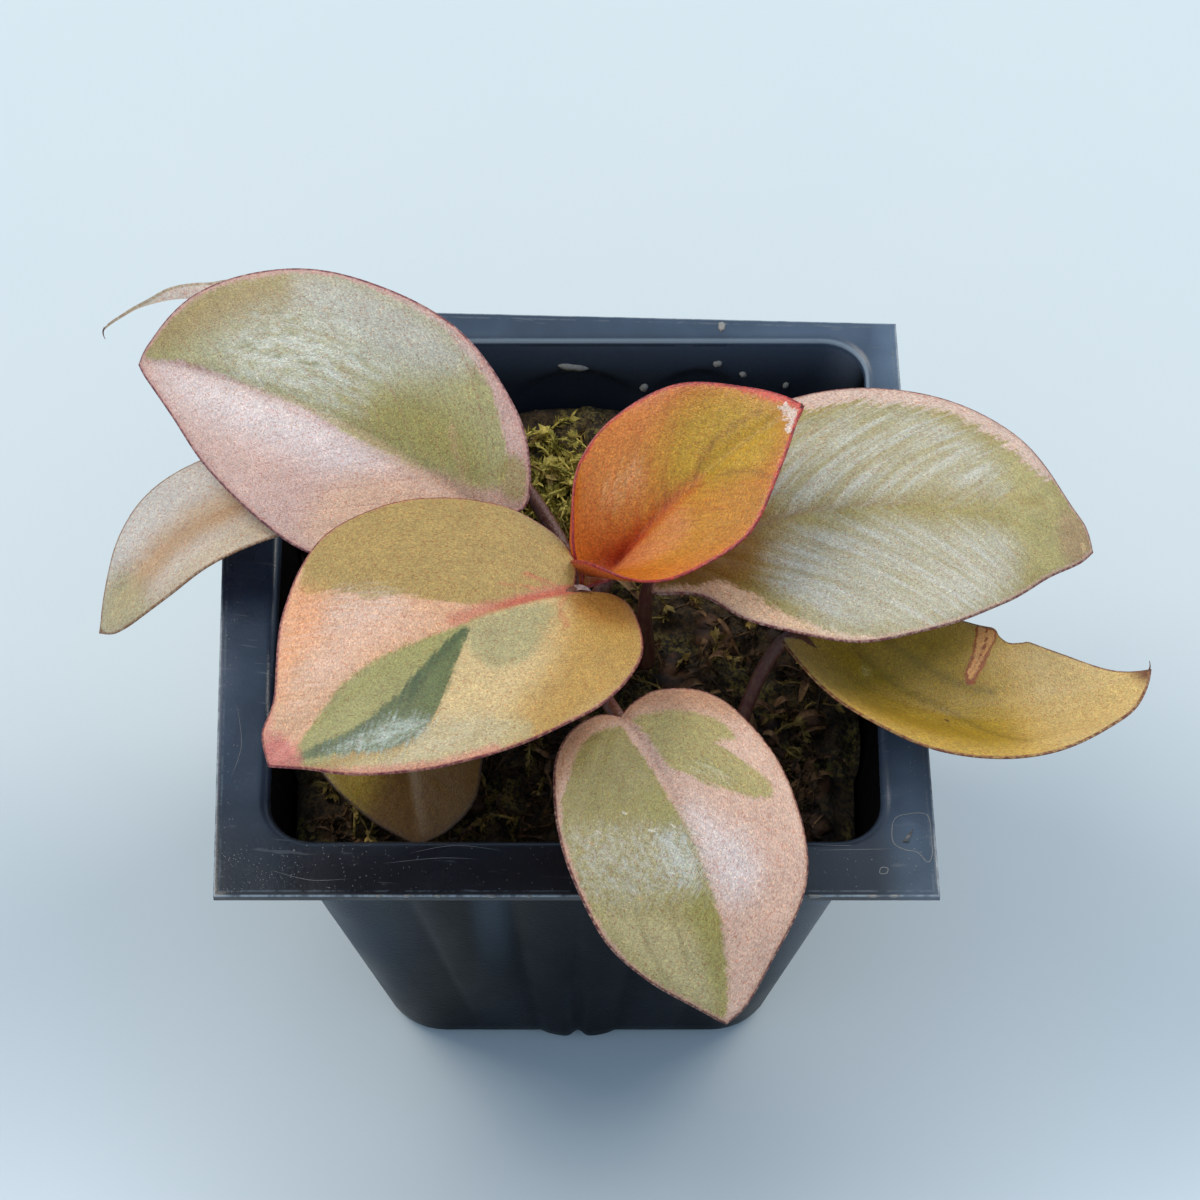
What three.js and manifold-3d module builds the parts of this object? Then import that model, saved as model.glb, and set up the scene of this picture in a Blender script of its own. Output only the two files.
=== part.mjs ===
// A young philodendron with variegated heart-shaped leaves, standing in moss in a square nursery pot.
// Millimetres, +Z up. The origin is the middle of the pot's underside and the photographed side faces -Y.
import * as THREE from "three";
import { mergeVertices } from "three/addons/utils/BufferGeometryUtils.js";
import Module from "manifold-3d";

const wasm = await Module();
wasm.setup();

// Pot sizes. The rim corners are a little out of square, as on a pot snapped out of a moulded sheet.
const potHeight = 75;
const potWall = 0.9;
const floorThickness = 1.2;
const rimThickness = 1.2;
const rimCorners = {
  frontLeft: [-45.0, -46.9],
  frontRight: [45.4, -46.9],
  backRight: [43.0, 41.5],
  backLeft: [-47.1, 44.2],
};
const mouthHalf = 39.6;
const baseHalf = 27.0;
const mouthCornerRadius = 6.5;
const baseCornerRadius = 9.0;
const foldRadius = 1.2;
const foldSagitta = 0.3;
const collarHeight = 5;
const footChamfer = { inset: 1.4, height: 1.2, upperInset: 0.3 };
const floorFillet = 1.1;

// The hollow ribs moulded in each side: one wide one with a groove down it, and one on each side of it.
const ribDepth = 1.1;
const ribRoundness = 0.6;
const archRise = 4;
const archSoftness = 2.5;
const middleRib = { centre: 0, halfWidth: 0.27 };
const outerRib = { centre: 0.52, halfWidth: 0.21 };
const groove = { halfWidth: 0.05, fullBelow: 20, goneAbove: 66 };
const outerRibFade = 30;

// Drain holes near the corners of the pot's floor.
const drainRadius = 3;
const drainOffset = 17;

// Moss and bark bed, and how rough it is.
const mossLevel = 63;
const mossEdgeLevel = 61.5;
const mossClearance = 0.45;
const mossHummock = 1.5;
const mossRings = 10;
const mossFootGap = 0.4;
const mossFootInset = 1.5;
const strand = { count: 56, radius: 0.55, field: 30, reach: [2, 5], rise: [1.5, 4.5], sunk: 2, sway: 1.5 };
const strandFreeOfStalk = 5.5;

// The stub of stem that the leaf stalks grow round.
const stem = { x: 3.2, y: -6, foot: 52, top: 68.4, radius: 4.4, joints: 5, scarDepth: 0.6, bluntness: 1.2 };
const holeClearance = 0.35;
const leanRoom = 0.6;
const stalkGap = 0.45;

// Leaf blades are a little thicker than real ones.
const bladeThickness = 0.6;
const alongSteps = 15;
const acrossSteps = 4;

const degrees = Math.PI / 180;

// Small maths helpers.
const mix = (a, b, t) => a + (b - a) * t;
const clamp = (x, low = 0, high = 1) => Math.min(high, Math.max(low, x));
function smoothstep(low, high, x) {
  const t = clamp((x - low) / (high - low));
  return t * t * (3 - 2 * t);
}
function seededRandom(seed) {
  let state = seed;
  return () => {
    state = (state * 1664525 + 1013904223) % 4294967296;
    return state / 4294967296;
  };
}

// A geometry from corner points and triangles, with the flat triangles left out.
function geometryFrom(points, triangles) {
  const geometry = new THREE.BufferGeometry();
  geometry.setAttribute("position", new THREE.Float32BufferAttribute(points.flat(), 3));
  const real = triangles.filter(([a, b, c]) => a !== b && b !== c && c !== a);
  geometry.setIndex(real.flat());
  geometry.computeVertexNormals();
  return geometry;
}

// The same geometry as a solid for cutting and joining.
function solidFrom(geometry) {
  const bare = geometry.clone();
  bare.deleteAttribute("normal");
  bare.deleteAttribute("uv");
  const merged = mergeVertices(bare, 1e-4);
  return new wasm.Manifold(
    new wasm.Mesh({
      numProp: 3,
      vertProperties: merged.attributes.position.array,
      triVerts: new Uint32Array(merged.index.array),
    }),
  );
}
function geometryOf(solid) {
  const mesh = solid.getMesh();
  const geometry = new THREE.BufferGeometry();
  geometry.setAttribute("position", new THREE.BufferAttribute(mesh.vertProperties, 3));
  geometry.setIndex(new THREE.BufferAttribute(mesh.triVerts, 1));
  geometry.computeVertexNormals();
  return geometry;
}

// Skins closed rings of points, first to last, and closes both ends on their middles. Each four-sided patch
// is split the same way whether the rings rise or fall, so that a wall and what fits in it stay parallel.
function skin(rings, startMiddle, endMiddle) {
  const count = rings[0].length;
  const points = [startMiddle, ...rings.flat(), endMiddle];
  const last = points.length - 1;
  const at = (ring, k) => 1 + ring * count + (k % count);
  const triangles = [];
  for (let k = 0; k < count; k++) {
    triangles.push([0, at(0, k + 1), at(0, k)]);
    triangles.push([last, at(rings.length - 1, k), at(rings.length - 1, k + 1)]);
    for (let r = 0; r < rings.length - 1; r++) {
      const rising = rings[r + 1][k][2] >= rings[r][k][2];
      const [near, far] = rising ? [at(r, k), at(r + 1, k + 1)] : [at(r + 1, k), at(r, k + 1)];
      triangles.push(rising ? [near, at(r, k + 1), far] : [at(r, k), far, near]);
      triangles.push(rising ? [near, far, at(r + 1, k)] : [far, at(r + 1, k + 1), near]);
    }
  }
  return geometryFrom(points, triangles);
}

// Pot outline: each of the four sides has straight stations, then its corner's arc.
const sideStations = 14;
const cornerStations = 4;
function outlineStations() {
  const stations = [];
  for (let side = 0; side < 4; side++) {
    for (let j = 0; j < sideStations; j++) {
      stations.push({ side, along: mix(-1, 1, j / sideStations), turn: 0 });
    }
    for (let c = 0; c < cornerStations; c++) {
      stations.push({ side, along: 1, turn: c / cornerStations });
    }
  }
  return stations;
}
const stations = outlineStations();

// How far a rib stands out from the pot's side at one place: along runs from -1 to 1 between the corners.
function ribBulge(along, z) {
  const fade = smoothstep(0, outerRibFade, z);
  const archTop = (rib) => {
    const across = clamp(Math.abs(Math.abs(along) - rib.centre) / rib.halfWidth);
    return potHeight - collarHeight - archRise * across * across;
  };
  const hump = (rib) => {
    const across = Math.abs(Math.abs(along) - rib.centre) / rib.halfWidth;
    return across >= 1 ? 0 : Math.cos((across * Math.PI) / 2) ** ribRoundness;
  };
  const below = (rib) => smoothstep(0, archSoftness, archTop(rib) - z);
  const grooved = Math.exp(-((along / groove.halfWidth) ** 2));
  const kept = 1 - grooved * (1 - smoothstep(groove.fullBelow, groove.goneAbove, z));
  const middle = hump(middleRib) * below(middleRib) * kept;
  return ribDepth * (middle + hump(outerRib) * below(outerRib) * fade);
}

// One ring of the pot's wall at height z, set in from the outside by inset.
function wallRing(z, inset) {
  const t = clamp(z / potHeight);
  const radius = mix(baseCornerRadius, mouthCornerRadius, t);
  const half = mix(baseHalf, mouthHalf, t);
  const straight = half - radius;
  return stations.map(({ side, along, turn }) => {
    const angle = (turn * Math.PI) / 2;
    const bulge = turn > 0 ? 0 : ribBulge(along, z);
    const out = radius + bulge - inset;
    const x = straight * (turn > 0 ? 1 : along) + Math.sin(angle) * out;
    const y = -straight - Math.cos(angle) * out;
    return turnedToSide(x, y, side, z);
  });
}
function turnedToSide(x, y, side, z) {
  const quarter = (side * Math.PI) / 2;
  const cos = Math.round(Math.cos(quarter));
  const sin = Math.round(Math.sin(quarter));
  return [x * cos - y * sin, x * sin + y * cos, z];
}

// One ring along the rim's straight outer edge, with the middle of each corner's arc at the corner.
function rimRing(z) {
  const corners = [rimCorners.frontLeft, rimCorners.frontRight, rimCorners.backRight, rimCorners.backLeft];
  const reach = 0.8;
  return stations.map(({ side, along, turn }) => {
    const beyond = turn > 0 ? mix(reach, 2 - reach, turn) : reach * along;
    const fraction = (beyond + 1) / 2;
    const [a, b] = [corners[side], corners[(side + 1) % 4]];
    if (fraction <= 1) return [mix(a[0], b[0], fraction), mix(a[1], b[1], fraction), z];
    const c = corners[(side + 2) % 4];
    return [mix(b[0], c[0], fraction - 1), mix(b[1], c[1], fraction - 1), z];
  });
}

const wallHeights = [10, 30, 60, 65, 68, 70.5];
function potGeometry() {
  const underRim = potHeight - rimThickness;
  const outside = wallHeights.map((z) => wallRing(z, 0));
  const inside = wallHeights.map((z) => wallRing(z, potWall)).reverse();
  const rings = [
    wallRing(0, footChamfer.inset),
    wallRing(footChamfer.height, footChamfer.upperInset),
    ...outside,
    wallRing(underRim, 0),
    rimRing(underRim),
    rimRing(potHeight),
    wallRing(potHeight, potWall - foldRadius),
    wallRing(potHeight - foldRadius * foldSagitta, potWall - foldRadius * foldSagitta),
    wallRing(potHeight - foldRadius, potWall),
    ...inside,
    wallRing(floorThickness + floorFillet, potWall),
    wallRing(floorThickness, potWall + floorFillet),
  ];
  const shell = solidFrom(skin(rings, [0, 0, 0], [0, 0, floorThickness]));
  const drains = [-1, 1].flatMap((x) => [-1, 1].map((y) => drainCutter(x * drainOffset, y * drainOffset)));
  return geometryOf(drains.reduce((pot, drain) => pot.subtract(drain), shell));
}
function drainCutter(x, y) {
  const cutter = new THREE.CylinderGeometry(drainRadius, drainRadius, floorThickness * 4, 20);
  return solidFrom(cutter.rotateX(Math.PI / 2).translate(x, y, 0));
}

// Height of the moss above its mean level: hummocks from a few crossed waves.
function mossRelief(x, y) {
  const broad = Math.sin(x * 0.21 + 1.3) * Math.cos(y * 0.19 - 0.4);
  const middle = Math.sin(x * 0.53 + y * 0.31) * Math.cos(y * 0.47 - x * 0.22 + 0.9);
  const fine = Math.sin(x * 1.27 - y * 0.83 + 2.1) * Math.sin(y * 1.13 + x * 0.59);
  return mossHummock * (0.7 * broad + 0.55 * middle + 0.4 * fine);
}

// One curled strand of moss as a thin three-sided tube.
function strandSolid(x, y, z, random) {
  const heading = random() * 2 * Math.PI;
  const reach = mix(...strand.reach, random());
  const rise = mix(...strand.rise, random());
  const sway = mix(-strand.sway, strand.sway, random());
  const ahead = new THREE.Vector3(Math.cos(heading), Math.sin(heading), 0);
  const aside = new THREE.Vector3(-Math.sin(heading), Math.cos(heading), 0);
  const foot = new THREE.Vector3(x, y, z - strand.sunk);
  const middle = foot.clone().addScaledVector(ahead, reach / 3).addScaledVector(aside, sway);
  middle.z += rise + strand.sunk;
  const tip = foot.clone().addScaledVector(ahead, reach);
  tip.z += mix(strand.sunk / 2, rise + strand.sunk / 2, random());
  const curve = new THREE.QuadraticBezierCurve3(foot, middle, tip);
  return solidFrom(tube(curve, (t) => mix(strand.radius, strand.radius / 2, t), 4, 3));
}

// The bed fills the pot up to the moss, clear of the wall all round.
function mossGeometry(stalkHoles) {
  const inset = potWall + mossClearance;
  const bottom = floorThickness + mossFootGap;
  const sides = wallHeights.filter((z) => z < mossEdgeLevel).map((z) => wallRing(z, inset));
  const edge = wallRing(mossEdgeLevel, inset);
  const rings = [
    wallRing(bottom, inset + mossFootInset),
    wallRing(bottom + mossFootInset, inset),
    ...sides,
    edge,
  ];
  for (let k = 1; k < mossRings; k++) {
    const shrink = 1 - k / mossRings;
    rings.push(edge.map(([x, y]) => mossPoint(x * shrink, y * shrink, k)));
  }
  const middle = [0, 0, mossLevel + mossRelief(0, 0)];
  const bed = solidFrom(skin(rings, [0, 0, bottom], middle));
  const solids = [bed];
  const random = seededRandom(11);
  const free = (x, y) =>
    stalkHoles.every((hole) => Math.hypot(x - hole.x, y - hole.y) > hole.radius + strandFreeOfStalk);
  while (solids.length <= strand.count) {
    const x = mix(-strand.field, strand.field, random());
    const y = mix(-strand.field, strand.field, random());
    if (free(x, y)) solids.push(strandSolid(x, y, mossLevel + mossRelief(x, y), random));
  }
  const planted = wasm.Manifold.union(solids);
  const cut = stalkHoles.reduce((moss, hole) => moss.subtract(holeCutter(hole)), planted);
  return geometryOf(largestBody(cut));
}
function mossPoint(x, y, k) {
  const level = k === 1 ? (mossEdgeLevel + mossLevel) / 2 : mossLevel;
  return [x, y, level + mossRelief(x, y)];
}
function holeCutter({ x, y, foot, radius }) {
  const depth = potHeight - foot;
  const cutter = new THREE.CylinderGeometry(radius, radius, depth, 16);
  return solidFrom(cutter.rotateX(Math.PI / 2).translate(x, y, foot + depth / 2));
}
function largestBody(solid) {
  return solid.decompose().reduce((best, body) => (body.volume() > best.volume() ? body : best));
}

// A round tube along a curve, its radius given by a function of the way along, with closed ends.
function tube(curve, radiusAt, steps, sides) {
  const frames = curve.computeFrenetFrames(steps, false);
  const rings = [];
  for (let i = 0; i <= steps; i++) {
    const centre = curve.getPointAt(i / steps);
    const ring = [];
    for (let k = 0; k < sides; k++) {
      const angle = (2 * Math.PI * k) / sides;
      const point = centre
        .clone()
        .addScaledVector(frames.normals[i], Math.cos(angle) * radiusAt(i / steps))
        .addScaledVector(frames.binormals[i], Math.sin(angle) * radiusAt(i / steps));
      ring.push(point.toArray());
    }
    rings.push(ring);
  }
  return skin(rings, curve.getPointAt(0).toArray(), curve.getPointAt(1).toArray());
}

// The stub of stem: short joints ringed by old leaf scars, with a blunt top.
function stemGeometry() {
  const profile = [new THREE.Vector2(0, stem.foot)];
  for (let j = 0; j <= stem.joints * 2; j++) {
    const z = mix(stem.foot, stem.top - stem.bluntness, j / (stem.joints * 2));
    profile.push(new THREE.Vector2(stem.radius - (j % 2 ? stem.scarDepth : 0), z));
  }
  profile.push(new THREE.Vector2(stem.radius - 1.5 * stem.bluntness, stem.top));
  profile.push(new THREE.Vector2(0, stem.top));
  return new THREE.LatheGeometry(profile, 20).rotateX(Math.PI / 2).translate(stem.x, stem.y, 0);
}

// Leaves. base is where the stalk meets the blade. heading and rise point the midrib there, and sweep and
// droop turn it on the way to the tip. roll tips the blade about the midrib, and twist adds to it. fold lifts
// each half and curl bends it on, per millimetre. Each margin point is [part of the length, half width].
const leaves = [
  {
    name: "leaf_upper_left",
    colour: 0xb39a7c,
    base: [-11, 1, 88],
    length: 54,
    heading: 145,
    sweep: 13,
    rise: 18,
    droop: -39,
    roll: -17,
    twist: -4,
    fold: 8,
    curl: -0.01,
    left: [[-0.05, 3], [0, 8], [0.12, 13], [0.31, 17], [0.5, 16], [0.7, 12], [0.85, 6.5], [0.96, 2]],
    right: [
      [-0.05, 4], [0.01, 9], [0.11, 13.5], [0.3, 18],
      [0.5, 18.5], [0.7, 16.5], [0.89, 10.5], [0.98, 3],
    ],
    stalk: { slot: 143, arrive: 6 },
  },
  {
    name: "leaf_middle_left",
    colour: 0xa98f54,
    base: [0, -14.8, 95.4],
    length: 46.5,
    heading: 204,
    sweep: 20,
    rise: 23,
    droop: -48,
    roll: 9,
    twist: -4,
    fold: 7,
    curl: -0.01,
    left: [
      [-0.1, 1.5], [-0.12, 6], [-0.04, 14], [0.16, 20],
      [0.42, 21], [0.64, 18], [0.83, 11.5], [0.95, 3.5],
    ],
    right: [
      [-0.05, 4.5], [-0.04, 10], [0.07, 17], [0.27, 21.5],
      [0.49, 21.5], [0.7, 14.5], [0.86, 6], [0.95, 3.5],
    ],
    stalk: { slot: 240, arrive: 3 },
  },
  {
    name: "leaf_young_orange",
    colour: 0xb8702c,
    base: [4, -6.9, 86.4],
    length: 35,
    heading: 32,
    sweep: -14,
    rise: 52,
    droop: -26,
    roll: 2,
    twist: 0,
    fold: 66,
    tipFold: 10,
    curl: 0.115,
    tipCurl: 0.012,
    left: [[-0.02, 4], [0.06, 8], [0.2, 9.5], [0.42, 13], [0.65, 11.5], [0.85, 6], [0.95, 2.5]],
    right: [[-0.02, 4], [0.06, 8.5], [0.2, 14], [0.42, 14.5], [0.65, 13], [0.85, 6.5], [0.95, 2]],
    stalk: { top: true, arrive: 8 },
  },
  {
    name: "leaf_upper_right",
    colour: 0x9da37c,
    base: [12, -6.6, 90.4],
    length: 59,
    heading: 22,
    sweep: -29,
    rise: 16,
    droop: -53,
    roll: -4,
    twist: 6,
    fold: 5,
    curl: -0.008,
    left: [
      [-0.05, 3], [0.02, 8], [0.15, 14.5], [0.38, 18],
      [0.6, 17.5], [0.79, 13], [0.92, 5.5], [0.97, 3],
    ],
    right: [
      [-0.07, 3.5], [0.02, 7.5], [0.12, 15], [0.33, 21],
      [0.56, 19], [0.75, 13.5], [0.88, 7], [0.96, 3],
    ],
    stalk: { slot: -10, arrive: 5 },
  },
  {
    name: "leaf_front",
    colour: 0xa89a80,
    base: [5.5, -28.5, 88],
    length: 42,
    heading: -54,
    sweep: -33,
    rise: 0,
    droop: -42,
    roll: -12,
    twist: 0,
    fold: 7,
    curl: -0.008,
    left: [
      [-0.02, 3.5], [-0.01, 7], [0.07, 12], [0.22, 14.5],
      [0.39, 15], [0.63, 13], [0.83, 6.5], [0.95, 2],
    ],
    right: [
      [-0.03, 3], [-0.01, 8], [0.08, 12.5], [0.25, 16],
      [0.44, 17], [0.67, 15], [0.83, 10], [0.95, 2.5],
    ],
    stalk: { slot: -86, arrive: 6 },
  },
  {
    name: "leaf_lower_right",
    colour: 0xa8893c,
    base: [29, -14.5, 84],
    length: 50,
    heading: -41,
    sweep: 83,
    rise: -21,
    droop: 22,
    roll: -15,
    twist: 0,
    fold: 24,
    curl: -0.01,
    left: [[-0.05, 5], [0.02, 9], [0.18, 13], [0.38, 14], [0.62, 12.5], [0.82, 7.5], [0.94, 2.5]],
    right: [[-0.04, 3.5], [0.02, 5.5], [0.18, 8.5], [0.38, 11.5], [0.62, 11], [0.82, 6.5], [0.94, 2.5]],
    stalk: { foot: [19.5, -23, 60], arrive: 6 },
  },
  {
    name: "leaf_lower_left",
    colour: 0xc2a987,
    base: [-31, 7.5, 84],
    length: 40,
    heading: 174,
    sweep: 53,
    rise: 1,
    droop: -55,
    roll: 6,
    twist: 0,
    fold: 10,
    curl: -0.02,
    left: [[-0.05, 3], [0.02, 5.5], [0.18, 7.5], [0.38, 8], [0.62, 7.5], [0.82, 5.5], [0.94, 3]],
    right: [[-0.05, 2.5], [0.02, 5.5], [0.18, 8], [0.38, 9], [0.62, 8], [0.82, 3.5], [0.94, 1]],
    stalk: { slot: 174, arrive: 12 },
  },
  {
    name: "leaf_back_withered",
    colour: 0xc4bca6,
    base: [-24.5, 34, 80],
    length: 50,
    heading: 166,
    sweep: -8,
    rise: 28,
    droop: -92,
    roll: 40,
    twist: 0,
    fold: 48,
    curl: 0,
    left: [[0, 2], [0.2, 4], [0.45, 4], [0.65, 2.5], [0.8, 1.2], [0.92, 0.8]],
    right: [[0, 2], [0.2, 4], [0.45, 4], [0.65, 1.8], [0.8, 1], [0.92, 0.8]],
    stalk: { slot: 112, arrive: 12 },
  },
  {
    name: "leaf_inside_pot",
    colour: 0x5a4a20,
    base: [-24.5, -7.5, 77],
    length: 30.5,
    heading: -81,
    sweep: 0,
    rise: -8,
    droop: -12,
    roll: 5,
    twist: 0,
    fold: 8,
    curl: -0.01,
    left: [[-0.05, 4], [0.02, 8], [0.18, 12], [0.42, 12.5], [0.66, 10], [0.85, 8], [0.96, 4]],
    right: [[-0.05, 4], [0.02, 8], [0.18, 12.5], [0.42, 13], [0.66, 10.5], [0.85, 6], [0.96, 2]],
    stalk: { slot: 206, arrive: 6 },
  },
];

// Which way the midrib runs at part s of its length.
function midribDirection(leaf, s) {
  const heading = (leaf.heading + leaf.sweep * s) * degrees;
  const rise = (leaf.rise + leaf.droop * s) * degrees;
  return new THREE.Vector3(
    Math.cos(heading) * Math.cos(rise),
    Math.sin(heading) * Math.cos(rise),
    Math.sin(rise),
  );
}

// Points along the midrib, added up in short steps from the base.
const midribSteps = 40;
function midribPoints(leaf) {
  const points = [new THREE.Vector3(...leaf.base)];
  for (let i = 0; i < midribSteps; i++) {
    const step = midribDirection(leaf, (i + 0.5) / midribSteps).multiplyScalar(leaf.length / midribSteps);
    points.push(points[i].clone().add(step));
  }
  return points;
}
function midribPoint(leaf, midrib, s) {
  const place = clamp(s) * midribSteps;
  const index = Math.min(Math.floor(place), midribSteps - 1);
  const point = midrib[index].clone().lerp(midrib[index + 1], place - index);
  return point.addScaledVector(midribDirection(leaf, clamp(s)), (s - clamp(s)) * leaf.length);
}

// The blade's sideways and upward directions at part s of the midrib.
function bladeAxes(leaf, s) {
  const ahead = midribDirection(leaf, s);
  const heading = (leaf.heading + leaf.sweep * s) * degrees;
  const level = new THREE.Vector3(-Math.sin(heading), Math.cos(heading), 0);
  const roll = (leaf.roll + leaf.twist * s) * degrees;
  const up = new THREE.Vector3().crossVectors(ahead, level);
  return {
    side: level.clone().multiplyScalar(Math.cos(roll)).addScaledVector(up, Math.sin(roll)),
    up: level.clone().multiplyScalar(-Math.sin(roll)).addScaledVector(up, Math.cos(roll)),
  };
}

// A point of the blade, at part s of the length and so many millimetres to the left or right of the midrib.
// The cross-section of each half is an arc that starts at the fold angle. A rolled young leaf opens quickly.
const openingPower = 4;
function bladePoint(leaf, midrib, s, across) {
  const inside = clamp(s);
  const closed = (1 - inside) ** openingPower;
  const fold = mix(leaf.tipFold ?? leaf.fold, leaf.fold, closed) * degrees;
  const curl = mix(leaf.tipCurl ?? leaf.curl, leaf.curl, closed) || 1e-6;
  const width = Math.abs(across);
  const outward = (Math.sin(fold + curl * width) - Math.sin(fold)) / curl;
  const upward = (Math.cos(fold) - Math.cos(fold + curl * width)) / curl;
  const { side, up } = bladeAxes(leaf, inside);
  return midribPoint(leaf, midrib, s)
    .addScaledVector(side, Math.sign(across) * outward)
    .addScaledVector(up, upward);
}

// The margin of one half as a smooth curve through its points, from the base to the tip.
function marginCurve(points) {
  const all = [[0, 0], ...points, [1, 0]];
  return new THREE.SplineCurve(all.map(([s, width]) => new THREE.Vector2(s, width)));
}

// The blade as one closed sheet: both faces have the same triangles, and a rim joins them.
function bladeGeometry(leaf) {
  const midrib = midribPoints(leaf);
  const halves = [
    { sign: 1, margin: marginCurve(leaf.left) },
    { sign: -1, margin: marginCurve(leaf.right) },
  ];
  const columns = 2 * acrossSteps + 1;
  const place = (i, j) => {
    const { sign, margin } = halves[j < acrossSteps ? 0 : 1];
    const out = Math.abs(j - acrossSteps) / acrossSteps;
    const along = i / alongSteps;
    const edge = margin.getPoint(along);
    return [mix(along, edge.x, out), sign * edge.y * out];
  };
  const surface = (i, j) => bladePoint(leaf, midrib, ...place(i, j));
  const faces = [[], []];
  for (let i = 0; i <= alongSteps; i++) {
    for (let j = 0; j < columns; j++) {
      const point = surface(i, j);
      const normal = gridNormal(leaf, midrib, place(i, j));
      faces.forEach((face, k) => {
        const offset = (k ? -0.5 : 0.5) * bladeThickness;
        face.push(point.clone().addScaledVector(normal, offset).toArray());
      });
    }
  }
  return closedSheet(faces, alongSteps, columns);
}

// The direction square to the blade, from two nearby points of it.
function gridNormal(leaf, midrib, [s, across]) {
  if (across === 0) return bladeAxes(leaf, clamp(s)).up;
  const near = 0.02;
  const here = bladePoint(leaf, midrib, s, across);
  const ahead = bladePoint(leaf, midrib, s + near, across).sub(here);
  const further = bladePoint(leaf, midrib, s, across * (1 + near)).sub(here);
  return ahead.cross(further).multiplyScalar(Math.sign(across)).normalize();
}

// Joins two faces of a grid round their edge. The first and last rows are single points.
function closedSheet([top, bottom], rows, columns) {
  const points = [...top, ...bottom];
  const under = top.length;
  const at = (i, j) => (i === 0 || i === rows ? i * columns : i * columns + j);
  const triangles = [];
  const quad = (a, b, c, d) => triangles.push([a, b, c], [a, c, d]);
  for (let i = 0; i < rows; i++) {
    for (let j = 0; j < columns - 1; j++) {
      const corners = [at(i, j), at(i, j + 1), at(i + 1, j + 1), at(i + 1, j)];
      quad(...corners);
      triangles.push([corners[0] + under, corners[2] + under, corners[1] + under]);
      triangles.push([corners[0] + under, corners[3] + under, corners[2] + under]);
    }
    quad(at(i, 0), at(i + 1, 0), at(i + 1, 0) + under, at(i, 0) + under);
    const end = columns - 1;
    quad(at(i + 1, end), at(i, end), at(i, end) + under, at(i + 1, end) + under);
  }
  return geometryFrom(points, triangles);
}

// Where a leaf's stalk starts: in its place round the stem, on top of it, or in the moss.
const slotRadius = 5.95;
const slotHeight = 66.2;
function stalkFoot(leaf) {
  const { slot, top, foot } = leaf.stalk;
  if (foot) return new THREE.Vector3(...foot);
  if (top) return new THREE.Vector3(stem.x, stem.y, stem.top + stalkGap);
  const angle = slot * degrees;
  return new THREE.Vector3(
    stem.x + slotRadius * Math.cos(angle),
    stem.y + slotRadius * Math.sin(angle),
    slotHeight,
  );
}

// The stalk rises from its foot and bends to meet the midrib, then runs on under it as a tapering keel.
const stalkRadius = { foot: 1.25, neck: 0.95, keelEnd: 0.45 };
const keelReach = 0.45;
const stalkUprightness = 0.45;
function stalkCurve(leaf) {
  const foot = stalkFoot(leaf);
  const base = new THREE.Vector3(...leaf.base);
  const rise = foot.distanceTo(base) * stalkUprightness;
  const up = foot.clone().add(new THREE.Vector3(0, 0, rise));
  const arrive = base.clone().addScaledVector(midribDirection(leaf, 0), -leaf.stalk.arrive);
  arrive.z -= leaf.stalk.arrive / 2;
  return new THREE.CubicBezierCurve3(foot, up, arrive, base);
}
function leafGeometry(leaf) {
  const midrib = midribPoints(leaf);
  const drop = bladeThickness / 3;
  const keelPoints = [0, 0.1, 0.2, 0.3, keelReach].map((s) =>
    midribPoint(leaf, midrib, s).addScaledVector(bladeAxes(leaf, s).up, -drop),
  );
  const stalk = stalkCurve(leaf);
  const stalkPoints = [0, 0.2, 0.4, 0.6, 0.8, 0.93].map((t) => stalk.getPoint(t));
  const path = new THREE.CatmullRomCurve3([...stalkPoints, ...keelPoints]);
  const keelStart = stalk.getLength() / path.getLength();
  const radiusAt = (t) =>
    t < keelStart
      ? mix(stalkRadius.foot, stalkRadius.neck, smoothstep(0, keelStart / 2, t))
      : mix(stalkRadius.neck, stalkRadius.keelEnd, (t - keelStart) / (1 - keelStart));
  const rod = solidFrom(tube(path, radiusAt, 17, 6));
  return geometryOf(solidFrom(bladeGeometry(leaf)).add(rod));
}

// Finishes.
function finish(colour, roughness) {
  return new THREE.MeshStandardMaterial({ color: colour, roughness, metalness: 0 });
}

// Puts the plant together in its pot.
const plant = new THREE.Group();
function addPiece(name, geometry, material) {
  const mesh = new THREE.Mesh(geometry, material);
  mesh.name = name;
  plant.add(mesh);
}
const footed = leaves.filter((leaf) => leaf.stalk.foot);
const stalkHoles = [
  { x: stem.x, y: stem.y, foot: stem.foot - stalkGap, radius: stem.radius + holeClearance },
  ...footed.map(({ stalk }) => ({
    x: stalk.foot[0],
    y: stalk.foot[1],
    foot: stalk.foot[2] - stalkGap,
    radius: stalkRadius.foot + holeClearance + leanRoom,
  })),
];
addPiece("pot", potGeometry(), finish(0x232a33, 0.45));
addPiece("moss_bed", mossGeometry(stalkHoles), finish(0x4a4426, 0.95));
addPiece("stem", stemGeometry(), finish(0x6b4a34, 0.7));
for (const leaf of leaves) {
  addPiece(leaf.name, leafGeometry(leaf), finish(leaf.colour, 0.5));
}

export default plant;
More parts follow.
